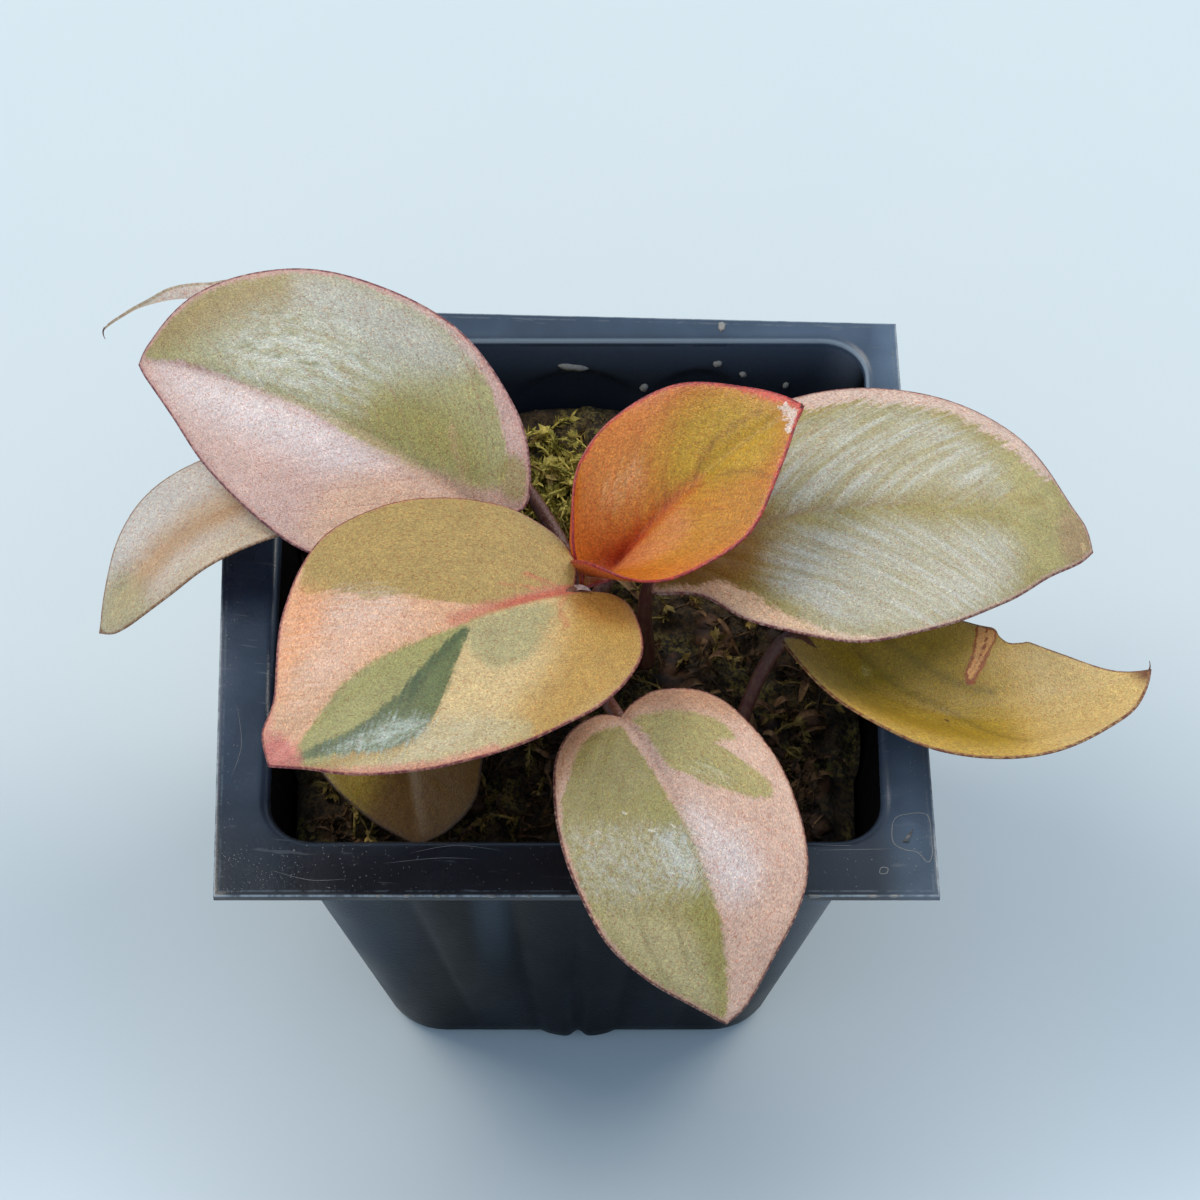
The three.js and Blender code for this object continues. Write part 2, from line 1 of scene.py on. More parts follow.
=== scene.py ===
import bpy
import bmesh
import numpy as np
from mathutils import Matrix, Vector


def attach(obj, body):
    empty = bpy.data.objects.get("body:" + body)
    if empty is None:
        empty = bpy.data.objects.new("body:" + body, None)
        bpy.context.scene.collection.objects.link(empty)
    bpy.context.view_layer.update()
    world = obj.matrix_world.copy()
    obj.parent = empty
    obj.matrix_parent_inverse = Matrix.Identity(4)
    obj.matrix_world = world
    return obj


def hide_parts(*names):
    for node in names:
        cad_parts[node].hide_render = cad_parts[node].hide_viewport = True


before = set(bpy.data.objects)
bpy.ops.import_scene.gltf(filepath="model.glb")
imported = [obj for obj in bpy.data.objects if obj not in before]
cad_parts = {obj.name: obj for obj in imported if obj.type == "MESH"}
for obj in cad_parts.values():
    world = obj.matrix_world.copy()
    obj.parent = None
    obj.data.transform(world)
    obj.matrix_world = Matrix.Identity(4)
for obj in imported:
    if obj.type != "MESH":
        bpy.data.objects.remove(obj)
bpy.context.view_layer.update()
scene = bpy.context.scene
metres = 0.001

# Pot sizes, the same as the solid's.
pot_height = 75
pot_wall = 0.9
floor_thickness = 1.2
rim_thickness = 1.2
rim_corners = [(-45.0, -46.9), (45.4, -46.9), (43.0, 41.5), (-47.1, 44.2)]
mouth_half = 39.6
base_half = 27.0
mouth_corner_radius = 6.5
base_corner_radius = 9.0
fold_radius = 1.2
collar_height = 5
rib_depth = 1.1
rib_roundness = 0.6
arch_rise = 4
arch_softness = 2.5
middle_rib = (0, 0.27)
outer_rib = (0.52, 0.21)
outer_rib_fade = 30
groove = {"half_width": 0.05, "full_below": 20, "gone_above": 66}
drain_radius = 3
drain_offset = 17
drain_sides = 32

# The flange is not quite flat: it dips and lifts a little along its length.
flange_wave = {"height": 0.14, "seed": 5, "size": 34}
flange_end = 46
rim_edge_radius = 0.16

# The rounded foot of the pot, outside and inside: heights, and how far each ring is set in from the wall.
# Then the heights of the wall's other rings.
foot_outside = [(0, 1.4), (0.25, 0.95), (0.7, 0.5), (1.2, 0.3)]
foot_inside = [(2.6, 0.1), (1.7, 0.5), (1.2, 1.4)]
wall_outside = [*np.linspace(2, 60, 30), *np.linspace(61, 73.3, 26)]
wall_inside = [*np.linspace(73, 61, 20), *np.linspace(59, 3.4, 26)]

# Moss sizes, the same as the solid's.
moss_level = 63
moss_edge_level = 61.5
moss_clearance = 0.45
moss_hummock = 1.5

# The finer ground of moss: its rings of points, how far its edge slumps, and the seed, size and height of the
# waves that make its small lumps.
moss_rings = 60
moss_slump = 1.5
moss_lumps = [(21, 2.6, 0.5), (22, 1.2, 0.3)]

# The stub of stem and the stalks round it, the same as the solid's.
stem = {"x": 3.2, "y": -6, "foot": 52, "top": 68.4, "radius": 4.4, "joints": 5, "scar_depth": 0.6}
slot_radius = 5.95
slot_height = 66.2
stalk_gap = 0.45
stalk_uprightness = 0.45
stalk_radius = {"foot": 1.25, "neck": 0.95, "keel_end": 0.25}
keel_reach = 0.5
keel_drop = (0.95, 0.5)

# A real blade is thinner than the solid's. Its edge is rounded over edge_round, and its columns crowd there.
blade_thickness = 0.36
edge_round = 0.3
rows = 150
half_columns = 40
last_columns = [0.985, 0.996, 1]
opening_power = 4
midrib_steps = 40


# Small maths helpers.
def mix(a, b, t):
    return a + (b - a) * t


def smoothstep(low, high, x):
    t = np.clip((x - low) / (high - low), 0, 1)
    return t * t * (3 - 2 * t)


def bell(x, width):
    return np.exp(-((x / width) ** 2))


def spline(points, t):
    """A smooth curve through points, at parameters t from 0 to 1."""
    points = np.array(points, float)
    last = len(points) - 1
    place = np.clip(t, 0, 1) * last
    index = np.minimum(place.astype(int), last - 1)
    w = (place - index)[..., None]
    a, b, c, d = (points[np.clip(index + k, 0, last)] for k in (-1, 0, 1, 2))
    leave = (c - a) / 2
    arrive = (d - b) / 2
    cubic = 2 * b - 2 * c + leave + arrive
    square = -3 * b + 3 * c - 2 * leave - arrive
    return ((cubic * w + square) * w + leave) * w + b


def closed_line(points, steps=8):
    """The same kind of curve through points and back to the first, as many short straight steps."""
    around = points[-2:] + points + points[:2]
    count = len(points) * steps
    whole = len(around) - 1
    t = (2 + np.arange(count) / steps) / whole
    return spline(around, t)


def distance_to(line, x, y, closed=True):
    """How far each place is from a line of short straight steps."""
    best = np.full(x.shape, np.inf)
    ends = np.roll(line, -1, 0) if closed else line[1:]
    for (ax, ay), (bx, by) in zip(line, ends):
        ex, ey = bx - ax, by - ay
        length = max(ex * ex + ey * ey, 1e-12)
        t = np.clip(((x - ax) * ex + (y - ay) * ey) / length, 0, 1)
        best = np.minimum(best, (x - ax - t * ex) ** 2 + (y - ay - t * ey) ** 2)
    return np.sqrt(best)


def depth_inside(line, x, y):
    """How far each place is inside a closed line, and less than 0 outside it."""
    odd = np.zeros(x.shape, bool)
    for (ax, ay), (bx, by) in zip(line, np.roll(line, -1, 0)):
        if ay != by:
            odd ^= ((ay > y) != (by > y)) & (x < ax + (y - ay) / (by - ay) * (bx - ax))
    return distance_to(line, x, y) * np.where(odd, 1, -1)


def waves(x, y, seed, size):
    """A smooth, irregular height from -1 to 1, made of crossed waves about size apart."""
    random = np.random.default_rng(seed)
    total = 0
    for _ in range(5):
        heading = random.uniform(0, 2 * np.pi)
        rate = 2 * np.pi / (size * random.uniform(0.7, 1.6))
        start = random.uniform(0, 2 * np.pi)
        total = total + np.sin(rate * (x * np.cos(heading) + y * np.sin(heading)) + start)
    return total / 5


# Meshes.
def mesh_object(name, points, faces, materials, numbers=None, kinds=None, weld=False):
    """A smooth-shaded object from points in millimetres. numbers is what the materials read at each point."""
    mesh = bpy.data.meshes.new(name)
    mesh.from_pydata((np.asarray(points) * metres).tolist(), [], faces)
    for key, values in (numbers or {}).items():
        values = np.asarray(values, np.float32)
        kind = "FLOAT" if values.ndim == 1 else "FLOAT_VECTOR"
        field = "value" if values.ndim == 1 else "vector"
        mesh.attributes.new(key, kind, "POINT").data.foreach_set(field, values.ravel())
    for material in materials:
        mesh.materials.append(material)
    if kinds is not None:
        mesh.polygons.foreach_set("material_index", np.asarray(kinds, np.int32))
    mesh.polygons.foreach_set("use_smooth", [True] * len(mesh.polygons))
    if weld:
        work = bmesh.new()
        work.from_mesh(mesh)
        bmesh.ops.remove_doubles(work, verts=work.verts, dist=1e-7)
        work.to_mesh(mesh)
        work.free()
    mesh.update()
    piece = bpy.data.objects.new(name, mesh)
    scene.collection.objects.link(piece)
    return piece


def place_piece(piece, slot, *nodes):
    """Every piece rides on the one body and may stand for solids, which it hides. The slot is not used."""
    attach(piece, "root")
    if nodes:
        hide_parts(*nodes)


def ring_faces(count, around):
    """The four-sided faces between closed rings of points that follow each other."""
    faces = []
    for start in range(0, (count - 1) * around, around):
        for k in range(around):
            a, b = start + k, start + (k + 1) % around
            faces.append((a, b, b + around, a + around))
    return faces


def closed_rings(rings, first_middle, last_middle):
    """Points and faces of a body made of rings, with a fan of faces at each end."""
    around = len(rings[0])
    end = len(rings) * around
    faces = ring_faces(len(rings), around)
    faces += [(end, (k + 1) % around, k) for k in range(around)]
    faces += [(end + 1, end - around + k, end - around + (k + 1) % around) for k in range(around)]
    return np.vstack([*rings, [first_middle, last_middle]]), faces


def strip_faces(steps):
    """Faces along a strip that is three points wide."""
    faces = []
    for k in range(0, 3 * steps, 3):
        faces += [(k, k + 1, k + 4, k + 3), (k + 1, k + 2, k + 5, k + 4)]
    return faces


class Shape:
    """Points and faces gathered for one mesh."""

    def __init__(self):
        self.points = []
        self.faces = []
        self.kinds = []
        self.count = 0

    def add(self, points, faces, kind=0):
        points = np.asarray(points, float).reshape(-1, 3)
        start = self.count
        self.points.append(points)
        self.faces += [tuple(k + start for k in face) for face in faces]
        self.kinds += [kind] * len(faces)
        self.count += len(points)

    def tube(self, path, radius, sides=8, kind=0):
        """A round tube along a path of points, with a radius at each."""
        path = np.asarray(path, float)
        radius = np.broadcast_to(radius, len(path))
        ahead = np.gradient(path, axis=0)
        ahead /= np.linalg.norm(ahead, axis=1)[:, None] + 1e-12
        side = np.cross(ahead[0], (0.31, 0.22, 0.93))
        rings = []
        angle = np.arange(sides) * 2 * np.pi / sides
        for point, direction, r in zip(path, ahead, radius):
            side = side - direction * np.dot(side, direction)
            side /= np.linalg.norm(side)
            other = np.cross(direction, side)
            rings.append(point + r * (np.cos(angle)[:, None] * side + np.sin(angle)[:, None] * other))
        faces = ring_faces(len(path), sides)
        faces.append(tuple(range(sides))[::-1])
        faces.append(tuple((len(path) - 1) * sides + k for k in range(sides)))
        self.add(np.vstack(rings), faces, kind)

    def made(self, name, materials, **more):
        return mesh_object(name, np.vstack(self.points), self.faces, materials, kinds=self.kinds, **more)


# Colours are given as 0 to 255 values seen in this light, and turned into the surface's own.
light_tint = (0.91, 1.0, 1.10)
gloss_share = 0.78


def seen(red, green, blue):
    out = []
    for value, tint in zip((red, green, blue), light_tint):
        v = value / 255
        linear = v / 12.92 if v <= 0.04045 else ((v + 0.055) / 1.055) ** 2.4
        out.append(min(0.97, linear * gloss_share / tint))
    return (*out, 1)


class Look:
    """The nodes of one material."""

    def __init__(self, name):
        self.material = bpy.data.materials.new(name)
        self.material.use_nodes = True
        self.tree = self.material.node_tree
        self.tree.nodes.clear()

    def node(self, kind, inputs, **settings):
        made = self.tree.nodes.new(kind)
        for key, value in settings.items():
            setattr(made, key, value)
        for key, value in inputs.items():
            if isinstance(value, bpy.types.NodeSocket):
                self.tree.links.new(value, made.inputs[key])
            else:
                made.inputs[key].default_value = value
        return made

    def math(self, operation, a, b=0.0):
        return self.node("ShaderNodeMath", {0: a, 1: b}, operation=operation).outputs[0]

    def add(self, total, *others):
        for other in others:
            total = self.math("ADD", total, other)
        return total

    def times(self, product, *others):
        for other in others:
            product = self.math("MULTIPLY", product, other)
        return product

    def swing(self, noise, amount):
        """Noise from 0 to 1, turned into a change of half the amount either way."""
        return self.times(self.add(noise, -0.5), amount)

    def ease(self, value, low, high, start=0.0, end=1.0):
        inputs = {"Value": value, "From Min": low, "From Max": high, "To Min": start, "To Max": end}
        return self.node("ShaderNodeMapRange", inputs, interpolation_type="SMOOTHSTEP").outputs["Result"]

    def stretch(self, vector, scale):
        inputs = {0: vector, 1: scale}
        return self.node("ShaderNodeVectorMath", inputs, operation="MULTIPLY").outputs[0]

    def shift(self, vector, offset):
        return self.node("ShaderNodeVectorMath", {0: vector, 1: offset}, operation="ADD").outputs[0]

    def parts(self, vector):
        return self.node("ShaderNodeSeparateXYZ", {0: vector}).outputs

    def join(self, x, y, z=0.0):
        return self.node("ShaderNodeCombineXYZ", {0: x, 1: y, 2: z}).outputs[0]

    def blend(self, share, a, b):
        return self.node("ShaderNodeMix", {0: share, 6: a, 7: b}, data_type="RGBA").outputs[2]

    def scaled(self, colour, amount):
        inputs = {0: colour, "Scale": amount}
        return self.node("ShaderNodeVectorMath", inputs, operation="SCALE").outputs[0]

    def noise(self, vector, scale, detail=2.0, roughness=0.5):
        inputs = {"Vector": vector, "Scale": scale, "Detail": detail, "Roughness": roughness}
        return self.node("ShaderNodeTexNoise", inputs).outputs[0]

    def cells(self, vector, scale):
        """How far a place is from the middle of its cell, and the cell's own colour."""
        made = self.node("ShaderNodeTexVoronoi", {"Vector": vector, "Scale": scale})
        return made.outputs["Distance"], made.outputs["Color"]

    def attribute(self, name, output="Fac"):
        made = self.node("ShaderNodeAttribute", {}, attribute_name=name, attribute_type="GEOMETRY")
        return made.outputs[output]

    def position(self):
        """Millimetres in the part's own frame."""
        where = self.node("ShaderNodeTexCoord", {}).outputs["Object"]
        return self.stretch(where, (1000, 1000, 1000))

    def bump(self, height, depth, strength=1.0):
        """Relief of so many millimetres for a height of 1."""
        inputs = {"Height": height, "Distance": depth * metres, "Strength": strength}
        return self.node("ShaderNodeBump", inputs).outputs[0]

    def finish(self, colour, roughness, normal=None, specular=0.5, lets_through=0.0):
        inputs = {"Base Color": colour, "Roughness": roughness, "Specular IOR Level": specular}
        if normal is not None:
            inputs["Normal"] = normal
        shader = self.node("ShaderNodeBsdfPrincipled", inputs).outputs[0]
        if lets_through:
            through = self.node("ShaderNodeBsdfTranslucent", {"Color": colour, "Normal": normal}).outputs[0]
            shader = self.node("ShaderNodeMixShader", {0: lets_through, 1: shader, 2: through}).outputs[0]
        self.node("ShaderNodeOutputMaterial", {"Surface": shader})
        return self.material


# A patch of colour with a closed outline, in millimetres along the midrib and to its left. soft is how gently
# it fades out, share how strongly it covers, and feather how ragged its edge is.
def patch(name, paint, outline, soft=0.5, share=1.0, feather=0.3):
    made = {"name": name, "paint": seen(*paint), "outline": outline}
    return {**made, "soft": soft, "share": share, "feather": feather}


# A painted line so many millimetres wide.
def stroke(name, paint, points, width=0.5, soft=0.3, share=0.6, feather=0.25):
    made = patch(name, paint, points, soft, share, feather)
    return {**made, "width": width}


# A painted sheen: a pale, finely wrinkled patch that stands for highlights of the lights on the leaf, partly
# the leaf's own silvery or streaked tint, and makes the leaf glossier there. Its wrinkles follow the midrib,
# or the side veins. least is how much of it is left between the wrinkles.
def painted_sheen(name, paint, outline, soft, share, stretch, scale, veins=False, least=0.25):
    made = patch(name, paint, outline, soft, share, 0.8)
    return {**made, "stretch": stretch, "scale": scale, "veins": veins, "least": least}


# Leaves. base to stalk, left and right are the solid's own numbers. Patches are painted one over the other.
leaves = []


def add_leaf(name, slot, **looks):
    leaves.append({"name": name, "slot": slot, **looks})


add_leaf(
    "leaf_upper_left", "leaf_variegated",
    base=(-11, 1, 88), length=54, heading=145, sweep=13, rise=18, droop=-39, roll=-17, twist=-4, fold=8,
    curl=-0.01, stalk={"around": 143, "arrive": 6},
    left=[(-0.05, 3), (0, 8), (0.12, 13), (0.31, 17), (0.5, 16), (0.7, 12), (0.85, 6.5), (0.96, 2)],
    right=[(-0.05, 4), (0.01, 9), (0.11, 13.5), (0.3, 18), (0.5, 18.5), (0.7, 16.5), (0.89, 10.5),
        (0.98, 3)],
    colour=(208, 178, 174), rim=((206, 164, 160), 0.9, 0.8), edge=(112, 48, 60),
    midrib=((196, 160, 140), 0.3, 50), veins=((160, 104, 92), 0.42),
    patches=[
        patch("white_pink", (222, 210, 216),
            [(50, 0), (40, -0.5), (32, -0.5), (22, 0.5), (14, 2), (18, 6), (28, 7), (38, 6.5), (46, 4)], 3),
        patch("salmon", (222, 188, 168),
            [(-3, 3), (4, 0.5), (14, 3), (20, 9), (18, 16), (6, 14), (-3, 9)], 3),
        patch("green", (174, 172, 124),
            [(53.2, -1.3), (47, -1.2), (42.5, -0.7), (35, 0.1), (29, 0.2), (22, 0.8), (14, 0.2), (8, -0.6),
             (3.5, -2), (1.5, -3.6), (2.5, -7), (6.5, -11), (10, -13.8), (14, -15.6), (18, -17),
             (24, -17.7), (31, -17.6), (36.5, -16), (41, -13.8), (46, -11), (50.5, -6)], 0.4),
        patch("tan", (164, 146, 92),
            [(54, -2), (51, -7), (46, -11.5), (41, -14), (35, -16), (31, -15), (37, -9), (43, -6),
             (49, -3)], 2.6),
        patch("pale", (190, 192, 186),
            [(36, -15.5), (30.5, -17.5), (22, -17.6), (14, -15.6), (14, -13), (21, -10), (28, -10.5),
             (34, -12)], 2.6),
        # Painted sheen: a broad pale patch standing for a highlight, partly the leaf's silvery tint.
        patch("broad_silver_sheen", (184, 190, 176),
            [(46, -3), (42, -9), (34, -14), (24, -15), (15, -13), (17, -7), (24, -2.5), (33, -1),
             (41, -1)], 4, 0.45),
        patch("dark", (158, 152, 88),
            [(24, -3.5), (17, -7.5), (10, -8), (4, -5), (3.5, -1.5), (8, -0.8), (14, -0.2), (20, -0.4)], 3),
        patch("vein_base", (196, 160, 144),
            [(9, -1), (4, -2), (1, -4.5), (-2, -4.5), (-2, 0), (3, 1), (9, 0.5)], 0.9, 0.6),
        patch("base_patch", (160, 150, 90),
            [(-2.2, -5), (-1, -7.6), (2.6, -8.2), (2.8, -5), (0, -3.4)], 0.8, 0.8),
        stroke("vein_a", (188, 150, 128),
            [(5, -1.4), (6.5, -2.6), (8.6, -4.4), (10.5, -6.6)], 0.3, 0.5, 0.45),
        stroke("crease_a", (116, 124, 84),
            [(40, -5.5), (35, -4.6), (31, -5.6), (26, -5)], 0.25, 0.4, 0.5, 0.5),
        stroke("crease_b", (116, 124, 84), [(33, -8.2), (28, -8), (24, -9.4)], 0.25, 0.4, 0.45, 0.5),
        stroke("fold_pink", (176, 112, 104), [(48, -0.9), (40, -0.2), (32, 0.6), (24, 1.1)], 0.3, 0.5, 0.4),
        stroke("vein_b", (168, 150, 108), [(19, -1), (23, -4), (28, -8.5), (31, -13)], 0.4, 0.5, 0.4),
    ],
    sheens=[
        painted_sheen("silver", (206, 216, 212),
            [(41.5, -4), (40, -1.4), (34, -1), (28, -1.5), (22.5, -3.4), (21, -8), (26, -12), (33, -12.5),
             (39, -9)], 3.4, 0.95, (0.4, 1.0), 0.7, False, 0.0),
        painted_sheen("pink_light", (236, 230, 238),
            [(44, 1), (34, 0.6), (24, 1), (26, 4), (34, 5), (42, 4)], 2.2, 0.55, (0.4, 1.0), 0.8),
    ],
)
add_leaf(
    "leaf_middle_left", "leaf_variegated",
    base=(0, -14.8, 95.4), length=46.5, heading=204, sweep=20, rise=23, droop=-48, roll=9, twist=-4, fold=7,
    curl=-0.01, stalk={"around": 240, "arrive": 3},
    left=[(-0.1, 1.5), (-0.12, 6), (-0.04, 14), (0.16, 20), (0.42, 21), (0.64, 18), (0.83, 11.5),
        (0.95, 3.5)],
    right=[(-0.05, 4.5), (-0.04, 10), (0.07, 17), (0.27, 21.5), (0.49, 21.5), (0.7, 14.5), (0.86, 6),
        (0.95, 3.5)],
    colour=(180, 156, 96), rim=((200, 140, 116), 0.55, 0.6), edge=(118, 40, 54),
    midrib=((198, 104, 84), 0.8, 15), veins=((146, 118, 66), 0.12),
    patches=[
        patch("sage", (162, 162, 106),
            [(12, 0.2), (16.8, 0.3), (20.7, -0.2), (26, -0.8), (32.3, -1.2), (38.8, 0.2), (44, 1.6),
             (45, 3), (41, 6), (34, 8), (26, 8), (18, 5)], 0.8),
        patch("salmon", (222, 180, 148),
            [(27.5, -18.5), (29.5, -15), (26.5, -12.5), (25, -11), (24, -8.8), (20.5, -7), (18, -4.6),
             (14, -1.6), (10.5, -0.2), (14.5, 0.2), (17.5, 0.5), (20.7, 0), (26, -0.9), (32.3, -1.2),
             (35.3, -0.6), (38.8, 0.3), (43.4, 1.6), (47, 2), (44, -5), (36, -12.5), (31, -18)], 0.4),
        patch("peach_glow", (238, 170, 120),
            [(30, -16), (28.5, -12), (30, -9), (36, -7), (40, -5), (37, -10)], 2.6, 0.85),
        patch("salmon_light", (232, 196, 178),
            [(26, -9), (22, -5), (20, -2.5), (26, -3), (34, -3), (34, -6)], 2.5, 0.6),
        patch("beige", (216, 196, 148),
            [(14, 0.5), (9, 0.6), (4, 0.8), (2, 3), (4.5, 8), (8, 13), (13, 18), (20, 21), (28, 19),
             (32, 14), (28, 11), (22.5, 7), (18, 3)], 0.9),
        patch("grey_sage", (172, 170, 128),
            [(15, 1), (7, 1.2), (4.2, 3.2), (7.6, 6.4), (12, 9.6), (17, 9.4), (18, 4)], 1.0, 0.85),
        patch("gold", (192, 156, 82),
            [(3.2, 2.6), (0.5, 0.4), (-6, 2), (-6.5, 9), (-2, 16), (6, 21), (15, 22.5), (22, 21), (19, 17),
             (12, 12.5), (7.7, 8)], 3.2, 0.9),
        patch("ochre_lobe", (178, 128, 62), [(1, 1), (-6, 2), (-6.5, 8), (-1, 8), (2.5, 5)], 1.6, 0.8),
        patch("cream", (196, 184, 140),
            [(28, 12), (23, 15), (18, 18.5), (20, 20.5), (28, 18.5), (36, 13.5), (42, 7.5), (38, 9.4),
             (33, 12)], 1.0, 0.85),
        patch("dark", (104, 118, 74),
            [(16.2, 1.6), (19.2, 1.9), (22, 3), (25, 4.2), (27.6, 5.1), (30.2, 5.3), (33.3, 5.7),
             (36.1, 5.1), (38.4, 4.3), (41.5, 2.8), (43.5, 2.8), (40.5, 5.5), (37.7, 8), (34.5, 10.8),
             (31.1, 12), (28.1, 11.5), (25.1, 9.8), (22.1, 7.3), (19, 4.4)], 0.35),
        stroke("pink_edge", (222, 138, 128),
            [(24, 19.8), (30, 17.6), (36, 13.4), (41, 8.6), (45, 3.4), (46.5, 0), (44, -3), (40, -6.8),
             (35, -12.5), (30, -17.6)], 0.8, 0.6, 0.65),
        stroke("dark_streak_a", (66, 84, 56),
            [(17, 1.9), (22, 3.6), (27, 6), (31, 8.6)], 0.5, 0.7, 0.6, 0.5),
        stroke("dark_streak_b", (70, 88, 60),
            [(26, 4.8), (32, 6.3), (37, 5.8), (41, 3.8)], 0.5, 0.7, 0.6, 0.5),
        patch("tip", (212, 120, 120), [(48, 3), (44, 4), (42.5, 1.8), (43, -2), (48, -2)], 1.0, 0.8),
        stroke("red_a", (196, 108, 88),
            [(0.5, 0), (4.6, 0), (9, -0.1), (13, -0.4), (17, -0.6)], 0.9, 0.7, 0.6),
        stroke("red_b", (196, 100, 80), [(1, -0.3), (3, -1.4), (5.2, -3.6)], 0.35, 0.35, 0.6),
        stroke("red_c", (200, 110, 88), [(2, -0.4), (6, -1.6), (9, -3.4)], 0.3, 0.35, 0.5),
        stroke("red_d", (196, 120, 90), [(1.5, 0.8), (4, 3), (5, 6.5)], 0.35, 0.4, 0.45),
    ],
    sheens=[
        painted_sheen("gloss", (190, 208, 208),
            [(40, 4.8), (35.5, 6.5), (31.5, 7.2), (28.8, 9.8), (28, 11.6), (31, 12.2), (35, 10.2),
             (39, 7)], 1.0, 0.85, (0.3, 1.0), 0.8),
        painted_sheen("boundary_light", (236, 226, 226),
            [(21, -8), (24, -11), (27, -12), (30, -9), (26, -6),
             (21, -5)], 1.4, 0.4, (1.0, 0.3), 1.2, True),
        painted_sheen("pink_streaks", (238, 208, 196),
            [(26, -8), (20, -2), (30, -2), (40, -0.5), (38, -8),
             (31, -14)], 2.0, 0.35, (1.0, 0.12), 1.1, True, 0.0),
        painted_sheen("low_shine", (212, 210, 190),
            [(27, 12), (21, 16), (24, 18.5), (32, 15.5), (36, 12)], 1.6, 0.4, (0.3, 1.0), 0.8),
    ],
)
add_leaf(
    "leaf_young_orange", "leaf_young",
    base=(4, -6.9, 86.4), length=35, heading=32, sweep=-14, rise=52, droop=-26, roll=2, twist=0, fold=66,
    tip_fold=10, curl=0.115, tip_curl=0.012, rolled={"length": 3.4, "radius": 2.5, "fades": (3.5, 14)},
    stalk={"top": True, "arrive": 8},
    left=[(-0.05, 4.8), (0.04, 9.8), (0.2, 11.6), (0.42, 13), (0.65, 11.5), (0.85, 6), (0.95, 2.5)],
    right=[(-0.02, 4.4), (0.04, 11), (0.2, 15.6), (0.42, 14.5), (0.65, 13), (0.85, 6.5), (0.95, 2)],
    colour=(208, 124, 38), rim=((218, 80, 66), 0.6, 0.8), edge=(146, 38, 46),
    midrib=((176, 58, 32), 0.5, 20), veins=((132, 60, 30), 0.16), gloss=(0.24, 0.4), grain=0.2,
    back=(222, 112, 60), hair=(1.0, 0.8),
    patches=[
        patch("deep", (230, 144, 70),
            [(2, 6), (10, 12), (19, 13), (22, 11), (17, 7), (10, 4), (3, 2)], 3.5, 0.9),
        patch("green", (196, 168, 40),
            [(15, 4), (21, 8), (27, 7), (31, 3), (32, 0), (30, -4), (25, -5.5), (19, -3),
             (15, 0)], 3.2, 0.8),
        patch("gold", (206, 142, 48),
            [(16, -3), (22, -6), (27, -8.5), (25, -12.5), (18, -13.5), (11, -11), (8, -6),
             (11, -2)], 2.6, 0.9),
        patch("base", (208, 88, 56), [(-2, 3), (5, 2), (9, 0), (6, -3), (1, -5), (-3, -2)], 2.4, 0.7),
        patch("peach", (226, 152, 104),
            [(3, -1), (8, -1.4), (14, -1), (15, -6), (9, -8), (4, -5)], 2.2, 0.8),
        patch("top_pink", (226, 140, 84),
            [(18, 13.5), (25, 12.5), (31, 6.5), (30, 5.5), (24, 10), (18, 11.5)], 0.9, 0.7),
        stroke("rib_glow", (206, 82, 52), [(2, 0.2), (8, 0), (14, -0.2), (18, -0.4)], 1.2, 1.0, 0.6),
        stroke("vein_a", (146, 92, 36), [(17, -0.5), (21, -2), (25, -4.5), (28, -8)], 0.35, 0.4, 0.5),
        stroke("vein_b", (140, 88, 36), [(18, 0.5), (22, 2.2), (26, 2.6), (30, 2.2)], 0.35, 0.4, 0.5),
        stroke("vein_c", (160, 90, 40), [(13, 0.5), (16, 4), (20, 7.5)], 0.3, 0.4, 0.4),
        patch("red_tip", (222, 62, 62),
            [(29, 6), (33, 4), (36, 0.6), (36, -1.6), (34.4, -1.4), (33.2, 1), (31, 3.4)], 0.6, 0.9),
        patch("white", (232, 218, 212),
            [(32.7, 1.4), (33.4, 0.5), (33.8, -0.8), (33.1, -2), (31.9, -2.8), (31.8, -2.1), (32.6, -1.2),
             (32.2, -0.4), (32.6, 0.3), (32, 1.3)], 0.15, 0.9, 0.4),
    ],
    sheens=[
        painted_sheen("fine_gold", (232, 186, 74),
            [(8, 8), (16, 10), (26, 7), (30, 2), (28, -6), (20, -10), (12, -8),
             (7, 0)], 3.5, 0.4, (1.0, 0.1), 1.5, True, 0.0),
        painted_sheen("light_a", (240, 190, 140), [(12, 4.4), (8, 5), (9, 7.5), (14, 7)], 1.4, 0.6, (0.6, 1), 1.2),
    ],
)
